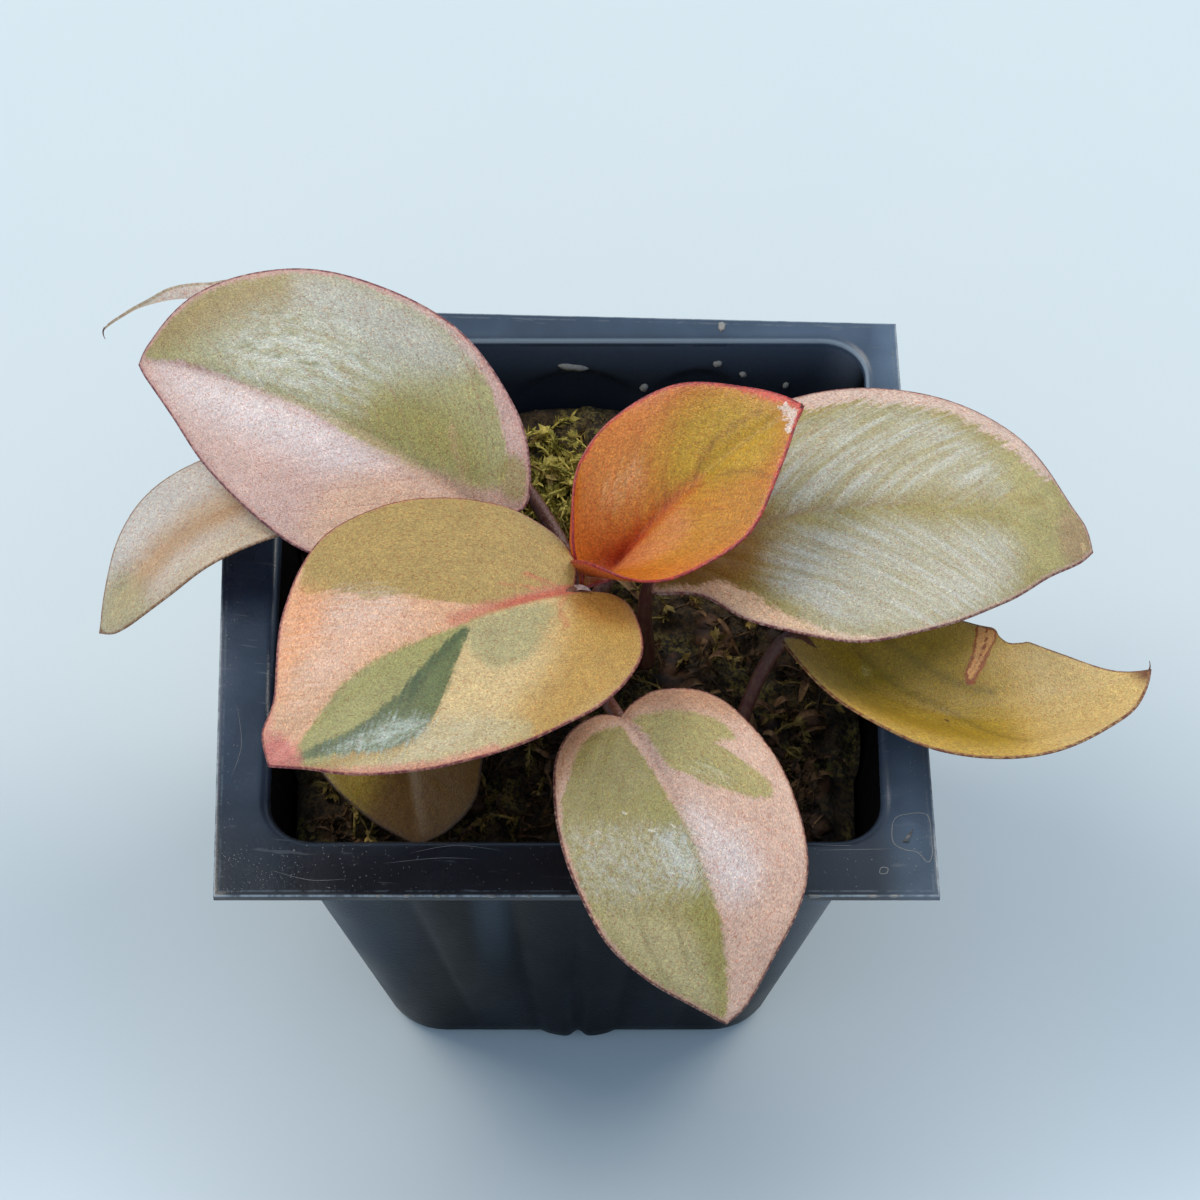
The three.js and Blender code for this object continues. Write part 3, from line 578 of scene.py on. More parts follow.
add_leaf(
    "leaf_upper_right", "leaf_variegated",
    base=(12, -6.6, 90.4), length=59, heading=22, sweep=-29, rise=16, droop=-53, roll=-4, twist=6, fold=5,
    curl=-0.008, stalk={"around": -10, "arrive": 5},
    left=[(-0.05, 3), (0.02, 8), (0.15, 14.5), (0.38, 18), (0.6, 17.5), (0.79, 13), (0.92, 5.5), (0.97, 3)],
    right=[(-0.07, 3.5), (0.02, 7.5), (0.12, 15), (0.33, 21), (0.56, 19), (0.75, 13.5), (0.88, 7),
        (0.96, 3)],
    colour=(166, 156, 94), rim=((206, 176, 164), 0.8, 0.7), edge=(116, 50, 54),
    midrib=((150, 126, 84), 0.55, 44), veins=((170, 152, 80), 0.4), pucker=0.14,
    patches=[
        # Painted shadow: the base lies in the shade of the young orange leaf above it.
        patch("painted_shadow_base", (142, 108, 46),
            [(-4, 4), (2, 8), (9, 12), (14, 8), (14, 0), (10, -8), (4, -10), (-3, -4)], 4),
        patch("green", (178, 172, 114),
            [(44, 10), (49, 9), (54, 4.5), (58, 0), (55.5, -4.5), (51, -8), (46.5, -4), (44, 3)], 2.6),
        patch("pink_top", (222, 198, 190),
            [(20, 17), (27, 19.8), (35, 19.2), (42, 16.6), (48, 12.6), (51.5, 8), (48.5, 8.4), (44, 11.6),
             (38.5, 14.2), (33.5, 14.9), (28, 15.6), (23, 15)], 0.7, 0.95, 0.9),
        patch("peach", (230, 198, 168),
            [(-4.5, -3.5), (-1.5, -4.2), (1, -6), (4, -6.4), (6.5, -9), (9, -12.5), (12, -16), (16, -19),
             (23, -21.2), (15, -23), (5, -18), (-2, -9), (-6, -5)], 0.5, 1.0, 0.5),
        patch("olive_tip", (174, 148, 112), [(54, 4), (60, 2), (60, -3), (55, -4), (53, 0)], 1.4, 0.8),
        stroke("olive_a", (156, 144, 62),
            [(15, 2), (19, 5), (24, 9), (28, 12.4), (33, 13.8), (39, 13.4)], 0.9, 0.8, 0.6),
        stroke("olive_b", (164, 146, 72),
            [(14, 0.6), (21, 0.3), (28, 0.4), (34, 1.4), (41, 2.6), (50, 3.4)], 0.8, 0.9, 0.55),
        stroke("olive_c", (168, 150, 76), [(20, 0.8), (26, 5), (32, 8.4), (39, 10)], 0.5, 0.7, 0.55),
        stroke("olive_d", (160, 144, 76),
            [(12, -2), (18, -6), (26, -8), (34, -10), (42, -9)], 0.7, 0.9, 0.55),
        stroke("olive_e", (156, 142, 80), [(12, -5), (17, -10), (24, -15), (33, -16)], 0.5, 0.7, 0.45),
        patch("cream_tip", (236, 214, 160), [(56.8, -0.8), (57.5, -0.6), (57.4, 0.2), (56.9, 0)], 0.2, 0.6),
    ],
    sheens=[
        painted_sheen("silver_upper", (203, 211, 208),
            [(14, 4), (18, 10), (25, 14.6), (34, 14.6), (42, 10), (45, 4), (38, 1.6), (26, 0.6),
             (18, 0.6)], 2.6, 0.85, (1.0, 0.14), 0.5, True, 0.3),
        painted_sheen("silver_lower", (205, 212, 210),
            [(14, -4), (24, -3), (36, -3), (45, -3), (46, -9), (40, -16), (30, -20), (18, -19),
             (11, -11)], 3.0, 0.85, (1.0, 0.14), 0.5, True, 0.45),
    ],
)
add_leaf(
    "leaf_front", "leaf_variegated",
    base=(5.5, -28.5, 88), length=42, heading=-54, sweep=-33, rise=0, droop=-42, roll=-12, twist=0, fold=7,
    curl=-0.008, stalk={"around": -86, "arrive": 6},
    left=[(-0.02, 3.5), (-0.01, 7), (0.07, 12), (0.22, 14.5), (0.39, 15), (0.63, 13), (0.83, 6.5),
        (0.95, 2.6)],
    right=[(-0.03, 3), (-0.01, 8), (0.08, 12.5), (0.25, 16), (0.44, 17), (0.67, 15), (0.83, 10),
        (0.96, 2.6)],
    colour=(230, 196, 180), rim=((212, 168, 146), 0.8, 0.7), edge=(104, 48, 46),
    midrib=((196, 156, 140), 0.4, 20), veins=((168, 118, 104), 0.12),
    patches=[
        patch("peach", (206, 162, 132),
            [(8, -16), (0, -10), (-2, -2), (-2, 4), (1.5, 12), (8, 15.5), (4, 7), (1.5, 2), (1.5, -4),
             (3.5, -8)], 2),
        patch("peach_end", (228, 194, 176), [(28, 3), (36, 2), (42, 0), (38, 7), (30, 12)], 3, 0.7),
        patch("white_side", (240, 228, 232),
            [(12, 2), (16, 7), (22, 11), (29, 9), (32, 3), (26, 1), (18, 0.6)], 3.2, 0.85),
        patch("green", (166, 156, 90),
            [(1.8, -1), (1.2, -4.5), (2.6, -8.5), (5, -11), (8, -13.8), (10, -15), (14, -16.2), (20, -16.3),
             (25, -15.5), (30, -13.3), (34, -10.7), (37, -7.3), (40, -3), (41.6, -0.6), (40, 0.1),
             (37, 0.3), (30.3, 0.7), (23.7, 0.4), (17.8, 0), (13.1, -0.6), (8.2, -0.9), (4, -1)], 0.4),
        patch("green_low", (202, 192, 148),
            [(25, -15), (26, -9), (29, -3), (33, -1), (38, -1), (40, -3), (36, -8), (31, -12.5)], 2.6, 0.8),
        patch("olive_strip", (158, 154, 80),
            [(12, -5), (20, -3), (30, -3), (37, -1.5), (36, 0), (24, 0), (12, -1)], 1.6, 0.7),
        patch("fingers", (184, 174, 112),
            [(1.4, 1.2), (2.2, 4.4), (4, 8), (6.2, 10.5), (8.2, 11.4), (9.2, 10.6), (8.6, 8.8), (9.6, 9.2),
             (12, 10.6), (15, 12.3), (16.8, 12), (16.2, 9.6), (14.5, 7), (13, 5), (11.2, 3.4), (9.5, 1.6),
             (7, 1.1), (4, 1.2)], 0.4),
        stroke("speck_a", (244, 240, 226), [(12.7, -7.6), (13.2, -7.2)], 0.16, 0.12, 0.9, 0),
        stroke("speck_b", (244, 240, 226), [(16, -5.2), (16.4, -4.8), (16.3, -4.3)], 0.18, 0.12, 0.9, 0),
        stroke("speck_c", (240, 234, 216), [(16.3, -1.9), (16.7, -1.5)], 0.16, 0.12, 0.9, 0),
        stroke("speck_d", (244, 238, 222), [(14.1, -11.8), (14.6, -11.4)], 0.14, 0.12, 0.9, 0),
        stroke("speck_e", (206, 170, 88), [(15.1, -13.3), (15.6, -12.9)], 0.2, 0.15, 0.9, 0),
        stroke("speck_f", (206, 170, 88), [(24, -9.2), (24.4, -8.9)], 0.22, 0.15, 0.9, 0),
        stroke("vein_a", (120, 112, 64), [(14, -9), (22, -10), (30, -9.5), (35, -7.5)], 0.25, 0.35, 0.4),
        stroke("vein_b", (120, 112, 64), [(20, -5), (28, -5.4), (35, -4)], 0.25, 0.35, 0.35),
    ],
    sheens=[
        painted_sheen("wet", (212, 214, 206),
            [(13, -15), (15, -8), (17, -2), (20, -0.6), (24.5, -0.8), (25, -6), (24, -12),
             (21, -16)], 2.6, 0.75, (1.0, 0.6), 1.1),
        painted_sheen("wet_bright", (216, 226, 226),
            [(17, -4), (17.6, -0.8), (21, 0), (24, -0.8), (23.4, -4), (20, -5)], 1.4, 0.8, (0.6, 1.0), 0.9),
        painted_sheen("white_side", (238, 232, 236),
            [(15, 1.5), (18, 4), (21, 6.5), (25, 6.5), (27, 3), (24, 1),
             (18, 1)], 2.8, 0.55, (0.5, 0.8), 0.8),
        painted_sheen("finger_shine", (214, 214, 184),
            [(9.5, 4), (11, 6.6), (13.6, 8.6), (13.4, 6.6), (11, 4)], 0.8, 0.6, (0.6, 1), 1.6),
    ],
)
add_leaf(
    "leaf_lower_right", "leaf_old",
    base=(29, -14.5, 84), length=50, heading=-41, sweep=83, rise=-21, droop=22, roll=-15, twist=0, fold=24,
    curl=-0.01, soft_fold=5, stalk={"foot": (19.5, -23, 60), "arrive": 6},
    left=[(-0.05, 5), (0.02, 9), (0.18, 13), (0.38, 14), (0.54, 13.6), (0.585, 13.2), (0.6, 12),
        (0.63, 11.1), (0.68, 10.9), (0.72, 10.6), (0.82, 7.5), (0.94, 2.5)],
    right=[(-0.04, 3.5), (0.02, 5.5), (0.18, 8.5), (0.38, 11.5), (0.62, 11), (0.82, 6.5), (0.94, 2.5)],
    colour=(222, 188, 96), rim=((206, 178, 128), 0.5, 0.4), edge=(122, 66, 40),
    midrib=((190, 160, 84), 0.25, 40), veins=((140, 118, 40), 0.1), lets_through=0.22, hair=(1.5, 1.6),
    pucker=0.03,
    patches=[
        patch("green", (186, 156, 40),
            [(2, 2), (8, 9), (16, 12), (25, 10), (28, 5), (30, -3), (27, -9), (20, -10), (10, -6)], 5),
        patch("tan", (226, 200, 132),
            [(34, 10), (32, 0), (31, -9), (38, -12), (50, -4), (52, 2), (44, 8)], 4),
        patch("brown_tip", (130, 84, 50), [(48, 1.6), (51, 1), (51, -1), (48, -1.6)], 1.4),
        stroke("vein_a", (132, 114, 24),
            [(8, 7), (12.3, 6.7), (17.3, 6.1), (23.2, 5), (27.4, 4.5)], 0.5, 0.6, 0.5),
        stroke("vein_b", (132, 114, 24),
            [(6, 4), (10.1, 3), (15.4, 1.9), (21.2, 0.6), (25.9, -3), (29.4, -6.4)], 0.6, 0.8, 0.55),
        stroke("vein_c", (226, 202, 146), [(34, 4.4), (37.7, 3.6), (41.5, 2.5), (46, 1.4)], 0.3, 0.4, 0.6),
        patch("scar_edge", (176, 86, 40),
            [(25.4, 13.9), (27.4, 13.4), (29.1, 13.3), (29.3, 12.2), (28.3, 10.8), (26.7, 8.6), (25.2, 6.5),
             (24.2, 5.1), (23.2, 5.4), (22.9, 7), (23.9, 8.8), (24.6, 11.1)], 0.25, 0.9, 0.2),
        patch("scar", (250, 190, 118),
            [(25.8, 13.4), (27.2, 12.9), (28.6, 12.8), (28.8, 12.1), (27.8, 10.9), (26.2, 8.9), (24.8, 6.9),
             (24.1, 5.9), (23.6, 6.1), (23.4, 7), (24.4, 8.7), (25.1, 11.2)], 0.2, 1.0, 0.2),
        stroke("scar_line", (160, 74, 34),
            [(27.4, 13), (26.8, 11.2), (25.6, 9), (24.2, 7.2)], 0.12, 0.2, 0.9),
        patch("pale_spot", (214, 194, 120), [(8.4, 1.4), (9.4, 1.2), (9.6, 2.2), (8.6, 2.4)], 0.5, 0.7),
        patch("dot", (90, 60, 20), [(20.6, -1.6), (21.1, -1.4), (21, -1), (20.6, -1.1)], 0.15, 0.8),
    ],
)
add_leaf(
    "leaf_lower_left", "leaf_old",
    base=(-31, 7.5, 84), length=40, heading=174, sweep=53, rise=1, droop=-55, roll=6, twist=0, fold=10,
    curl=-0.02, stalk={"around": 174, "arrive": 12},
    left=[(-0.05, 3), (0.02, 5.5), (0.18, 7.5), (0.38, 8), (0.62, 7.5), (0.82, 5.5), (0.94, 3)],
    right=[(-0.05, 2.5), (0.02, 5.5), (0.18, 8), (0.38, 9), (0.62, 8), (0.82, 3.5), (0.94, 1)],
    colour=(234, 232, 230), rim=((206, 186, 160), 0.5, 0.4), edge=(158, 118, 84),
    midrib=((190, 146, 104), 0.25, 34), veins=((186, 160, 130), 0.12), lets_through=0.3, pucker=0.03,
    grain=0.1,
    patches=[
        patch("tan", (222, 188, 148),
            [(8, -2.5), (18, -2.6), (26, -1.8), (34, -0.6), (37, 2), (30, 4), (22, 3.4),
             (12, 3)], 2.6, 0.9),
        patch("lower", (230, 214, 186), [(4, 3), (14, 4), (26, 5), (34, 5), (28, 9), (10, 9)], 2.0, 0.8),
        patch("green", (208, 202, 158),
            [(30, 5), (31, -1.5), (36, -2.6), (41, 0), (38, 4), (34, 7)], 2.4, 0.8),
        patch("brown_tip", (132, 86, 56), [(39.3, 2), (41, 0.5), (41, -1), (39.2, -0.6)], 0.5, 0.9),
    ],
)
add_leaf(
    "leaf_back_withered", "leaf_old",
    base=(-24.5, 34, 80), length=50, heading=166, sweep=-8, rise=28, droop=-92, roll=40, twist=0, fold=48,
    curl=0, stalk={"around": 112, "arrive": 12},
    left=[(0, 1.5), (0.2, 3), (0.42, 3.4), (0.6, 2.4), (0.72, 1), (0.84, 0.4), (0.94, 0.3)],
    right=[(0, 1.5), (0.2, 3), (0.42, 3.2), (0.6, 1.6), (0.72, 0.7), (0.84, 0.4), (0.94, 0.3)],
    colour=(262, 262, 264), rim=((240, 248, 250), 0.4, 0.6), edge=(220, 214, 200),
    midrib=((226, 214, 196), 0.4, 40), veins=((226, 216, 200), 0.2), back=(262, 262, 264),
    lets_through=0.78, hair=(3.0, -1.2), grain=0.08,
    patches=[
        patch("tail", (234, 230, 222), [(37, 4), (52, 2), (52, -2), (37, -4)], 3.0, 0.9),
        patch("green_base", (238, 250, 250), [(-2, 4), (14, 5), (16, -4), (-2, -4)], 3.0, 0.7),
    ],
)
add_leaf(
    "leaf_inside_pot", "leaf_old",
    base=(-24.5, -7.5, 77), length=30.5, heading=-81, sweep=0, rise=-8, droop=-12, roll=5, twist=0, fold=8,
    curl=-0.01, stalk={"around": 206, "arrive": 6},
    left=[(-0.05, 4), (0.02, 8), (0.18, 12), (0.42, 12.5), (0.66, 10), (0.85, 8), (0.96, 4)],
    right=[(-0.05, 4), (0.02, 8), (0.18, 12.5), (0.42, 13), (0.66, 10.5), (0.85, 6), (0.96, 2)],
    colour=(104, 76, 28), rim=((96, 74, 34), 0.5, 0.5), edge=(52, 32, 18), midrib=((112, 86, 44), 0.5, 26),
    veins=((54, 38, 16), 0.3), back=(60, 44, 24),
    patches=[
        patch("green", (150, 130, 44), [(15, -12), (17, -3), (23, -5), (27, -9), (24, -13)], 2.5, 0.9),
    ],
)


# Which way the midrib runs at part s of its length.
def midrib_direction(leaf, s):
    heading = np.radians(leaf["heading"] + leaf["sweep"] * s)
    rise = np.radians(leaf["rise"] + leaf["droop"] * s)
    level = np.cos(rise)
    return np.stack([np.cos(heading) * level, np.sin(heading) * level, np.sin(rise)], -1)


def midrib_point(leaf, s):
    middles = (np.arange(midrib_steps) + 0.5) / midrib_steps
    steps = midrib_direction(leaf, middles) * leaf["length"] / midrib_steps
    points = np.vstack([leaf["base"], leaf["base"] + np.cumsum(steps, 0)])
    inside = np.clip(s, 0, 1)
    stops = np.linspace(0, 1, midrib_steps + 1)
    on = np.stack([np.interp(inside, stops, points[:, k]) for k in range(3)], -1)
    return on + midrib_direction(leaf, inside) * ((s - inside) * leaf["length"])[..., None]


# The blade's sideways and upward directions at part s of the midrib.
def blade_axes(leaf, s):
    ahead = midrib_direction(leaf, s)
    heading = np.radians(leaf["heading"] + leaf["sweep"] * s)
    level = np.stack([-np.sin(heading), np.cos(heading), 0 * heading], -1)
    roll = np.radians(leaf["roll"] + leaf["twist"] * s)[..., None]
    up = np.cross(ahead, level)
    return level * np.cos(roll) + up * np.sin(roll), up * np.cos(roll) - level * np.sin(roll)


# A place on the blade, at part s of the length and so many millimetres to the left of the midrib.
def blade_point(leaf, s, across):
    inside = np.clip(s, 0, 1)
    closed = (1 - inside) ** opening_power
    fold = np.radians(mix(leaf.get("tip_fold", leaf["fold"]), leaf["fold"], closed))
    curl = mix(leaf.get("tip_curl", leaf["curl"]), leaf["curl"], closed)
    curl = np.where(np.abs(curl) < 1e-6, 1e-6, curl)
    width = np.abs(across)
    outward = (np.sin(fold + curl * width) - np.sin(fold)) / curl
    upward = (np.cos(fold) - np.cos(fold + curl * width)) / curl
    upward = upward * (1 - bell(width, leaf.get("soft_fold", 0.8)))
    side, up = blade_axes(leaf, inside)
    outward = np.sign(across) * outward
    return midrib_point(leaf, s) + side * outward[..., None] + up * upward[..., None]


def blade_normal(leaf, s, across):
    near = 0.004
    step = near * leaf["length"]
    ahead = blade_point(leaf, s + near, across) - blade_point(leaf, s - near, across)
    aside = blade_point(leaf, s, across + step) - blade_point(leaf, s, across - step)
    normal = np.cross(ahead, aside)
    return normal / np.linalg.norm(normal, axis=-1)[..., None]


# Side veins arch from the midrib towards the tip, and fan out from the base into the lobes. The first number
# grows by one spacing from each vein to the next, and the second is the distance out along the vein.
vein_spacing = 4.6
vein_lean = 0.95
vein_arch = 0.03
lobe_fan = 13

# Relief of a blade: how high it is raised between the side veins unless it has a pucker of its own, how it
# swells and ripples, how deep the midrib lies, and how the margin waves and sinks.
usual_pucker = 0.05
blade_swell = 0.22
blade_ripple = 0.03
midrib_depth = 0.14
margin_wave = 0.16
margin_sink = 0.12
hair_radius = (0.16, 0.04)


def vein_place(x, y):
    a = np.abs(y)
    forward = x - vein_lean * a - vein_arch * a * a
    reach = np.hypot(x, y) + 1e-6
    first = reach
    for _ in range(6):
        first = reach / np.hypot(1, vein_lean + vein_arch * first)
    start = np.arctan2(first, (vein_lean + vein_arch * first) * first)
    backward = -lobe_fan * (np.arctan2(a, x) - start)
    number = np.where(forward > 0, forward, np.minimum(backward, 0))
    return number, reach


# Height of the blade's own relief.
def blade_relief(leaf, x, y, depth, seed):
    number, _ = vein_place(x, y)
    phase = number / vein_spacing + 0.5 * (y < 0) + 0.12 * waves(x, y, seed, 9)
    pillow = np.abs(np.sin(np.pi * phase)) ** 0.7
    inner = smoothstep(0, 4, depth) * smoothstep(0, 3.5, np.abs(y))
    relief = leaf.get("pucker", usual_pucker) * (pillow - 0.6) * inner
    relief += blade_swell * waves(x, y, seed + 1, 18) * smoothstep(0, 5, np.abs(y))
    relief += blade_ripple * waves(x, y, seed + 2, 3.2) * inner
    relief -= midrib_depth * bell(y, 0.8) * smoothstep(0, 8, leaf["length"] - x)
    relief += margin_wave * waves(x, y, seed + 3, 9) * bell(depth, 2.0)
    relief -= margin_sink * bell(depth, 0.7)
    return relief


# A young leaf's margin is still rolled inwards near the base: how far to move each place along the blade
# towards the margin, and square to the blade.
def margin_roll(leaf, x, depth):
    rolled = leaf.get("rolled")
    if not rolled:
        return 0 * x, 0 * x
    length = rolled["length"] * (1 - smoothstep(*rolled["fades"], x))
    radius = rolled["radius"]
    wound = np.maximum(length - depth, 0)
    return radius * np.sin(wound / radius) - wound, radius * (1 - np.cos(wound / radius))


def blade_outline(leaf):
    t = np.linspace(0, 1, 121)
    halves = []
    for key, sign in (("left", 1), ("right", -1)):
        edge = spline([(0, 0), *leaf[key], (1, 0)], t)
        halves.append(edge * (leaf["length"], sign))
    return np.vstack([halves[0], halves[1][::-1]])


# The upper face of the blade: each row crosses it from the left margin to the right.
def blade_grid(leaf):
    u = np.linspace(0, 1, rows + 1)
    q = np.linspace(0, 1, half_columns + 1)
    out = q * (1.3 - 0.3 * q)
    out = np.append(out[:-1], last_columns)
    left = spline([(0, 0), *leaf["left"], (1, 0)], u)
    right = spline([(0, 0), *leaf["right"], (1, 0)], u)
    s_left = mix(u[:, None], left[:, :1], out[None, ::-1])
    s_right = mix(u[:, None], right[:, :1], out[None, 1:])
    y_left = left[:, 1:] * out[None, ::-1]
    y_right = -right[:, 1:] * out[None, 1:]
    return np.hstack([s_left, s_right]), np.hstack([y_left, y_right])


def stalk_foot(leaf):
    stalk = leaf["stalk"]
    if "foot" in stalk:
        return np.array(stalk["foot"], float)
    if "top" in stalk:
        return np.array([stem["x"], stem["y"], stem["top"] + stalk_gap])
    angle = np.radians(stalk["around"])
    x = stem["x"] + slot_radius * np.cos(angle)
    y = stem["y"] + slot_radius * np.sin(angle)
    return np.array([x, y, slot_height])


# The stalk rises from its foot, bends to meet the midrib and runs on under it as a tapering keel.
def stalk_path(leaf):
    foot = stalk_foot(leaf)
    base = np.array(leaf["base"], float)
    up = foot + (0, 0, np.linalg.norm(foot - base) * stalk_uprightness)
    arrive = base - midrib_direction(leaf, np.array(0.0)) * leaf["stalk"]["arrive"]
    arrive[2] -= leaf["stalk"]["arrive"] / 2
    t = np.linspace(0, 0.95, 36)[:, None]
    rising = foot * (1 - t) ** 3 + 3 * up * t * (1 - t) ** 2 + 3 * arrive * t * t * (1 - t) + base * t**3
    s = np.linspace(0.04, keel_reach, 26)
    _, over = blade_axes(leaf, s)
    keel = midrib_point(leaf, s) - over * mix(*keel_drop, s / keel_reach)[:, None]
    path = np.vstack([rising, keel])
    for _ in range(4):
        path[1:-1] = (path[:-2] + 2 * path[1:-1] + path[2:]) / 4
    neck = smoothstep(0, 0.5, np.linspace(0, 1, len(rising)))
    radius = mix(stalk_radius["foot"], stalk_radius["neck"], neck)
    thin = mix(stalk_radius["neck"], stalk_radius["keel_end"], (s / keel_reach) ** 0.7)
    return path, np.append(radius, thin)


def patch_depth(painted, x, y):
    """How far each place is inside a painted patch or line."""
    if "width" in painted:
        line = spline(painted["outline"], np.linspace(0, 1, 8 * len(painted["outline"])))
        return painted["width"] - distance_to(line, x, y, False)
    return depth_inside(closed_line(painted["outline"]), x, y)


def leaf_numbers(leaf, x, y, seed):
    """What the leaf's material reads at each place of the blade."""
    depth = depth_inside(blade_outline(leaf), x, y)
    number, along = vein_place(x, y)
    offset = 0.5 * vein_spacing * (y < 0)
    numbers = {
        "leaf_place": np.stack([x, y, np.maximum(depth, 0)], -1),
        "side_veins": np.stack([number + offset, along, np.full(x.shape, seed * 7.0)], -1),
    }
    for painted in leaf["patches"] + leaf.get("sheens", []):
        numbers["patch_" + painted["name"]] = patch_depth(painted, x, y)
    return numbers, np.maximum(depth, 0)


# The direction of the margin from each place, on the blade.
def towards_margin(leaf, s, y):
    near = 0.02
    step = near * leaf["length"]
    outline = blade_outline(leaf)
    x = s * leaf["length"]
    nudges = ((step, 0), (-step, 0), (0, step), (0, -step))
    depth = [depth_inside(outline, x + dx, y + dy) for dx, dy in nudges]
    along = (depth[1] - depth[0])[..., None]
    aside = (depth[3] - depth[2])[..., None]
    ahead = blade_point(leaf, s + near, y) - blade_point(leaf, s - near, y)
    left = blade_point(leaf, s, y + step) - blade_point(leaf, s, y - step)
    out = ahead * along + left * aside
    return out / (np.linalg.norm(out, axis=-1)[..., None] + 1e-9)


# The blade is one closed sheet: each row crosses the upper face and comes back underneath.
def leaf_piece(leaf, seed):
    s, y = blade_grid(leaf)
    x = s * leaf["length"]
    numbers, depth = leaf_numbers(leaf, x, y, seed)
    normal = blade_normal(leaf, s, y)
    relief = blade_relief(leaf, x, y, depth, seed * 11)
    half = blade_thickness / 2 * np.sqrt(1 - (1 - np.clip(depth / edge_round, 0, 1)) ** 2)
    middle = blade_point(leaf, s, y) + normal * relief[..., None]
    if "rolled" in leaf:
        outwards, inwards = margin_roll(leaf, x, depth)
        middle += towards_margin(leaf, s, y) * outwards[..., None] + normal * inwards[..., None]
        normal = grid_normal(middle)
    top = middle + normal * half[..., None]
    under = middle - normal * half[..., None]
    ring = np.concatenate([top, under[:, -2:0:-1]], 1)
    wide = ring.shape[1]
    shape = Shape()
    shape.add(ring, [face[::-1] for face in ring_faces(rows + 1, wide)])
    blade_count = shape.count
    path, radius = stalk_path(leaf)
    shape.tube(path, radius, 12, 1)
    if "hair" in leaf:
        hair = hair_path(leaf)
        shape.tube(hair, np.linspace(*hair_radius, len(hair)), 6, 1)
    values = {}
    for key, field in numbers.items():
        both = np.concatenate([field, field[:, -2:0:-1]], 1)
        flat = both.reshape(-1, 3) if both.ndim == 3 else both.ravel()
        rest = np.zeros((shape.count - blade_count, *flat.shape[1:]))
        values[key] = np.concatenate([flat, rest])
    is_under = np.zeros((rows + 1, wide))
    is_under[:, top.shape[1]:] = 1
    values["under"] = np.append(is_under.ravel(), np.zeros(shape.count - blade_count))
    looks = [leaf_material(leaf), stalk_look()]
    piece = shape.made(leaf["name"] + "_blade", looks, numbers=values, weld=True)
    place_piece(piece, leaf["slot"], leaf["name"])


def grid_normal(points):
    normal = np.cross(np.gradient(points, axis=0), np.gradient(points, axis=1))
    size = np.linalg.norm(normal, axis=-1)[..., None]
    normal = -normal / np.maximum(size, 1e-9)
    normal[0] = normal[1]
    normal[-1] = normal[-2]
    return normal


# The dry thread at the end of some leaves: its length, and how far it turns up out of the blade.
def hair_path(leaf):
    length, lift = leaf["hair"]
    end = np.array(1.0)
    ahead = midrib_direction(leaf, end)
    _, up = blade_axes(leaf, end)
    t = np.linspace(0, 1, 10)[:, None]
    return midrib_point(leaf, np.array(0.985)) + ahead * length * t * (1 - 0.6 * t) + up * lift * t**2


# What most leaves have: the colour underneath, how far single cells differ, gloss, and light let through.
usual_back = (170, 136, 104)
usual_grain = 0.17
usual_gloss = (0.33, 0.5)
usual_lets_through = 0.14
unchanged = (1, 1, 1, 1)
gold_cell = (1.26, 1.24, 1.1, 1)
red_cell = (0.88, 0.64, 0.58, 1)


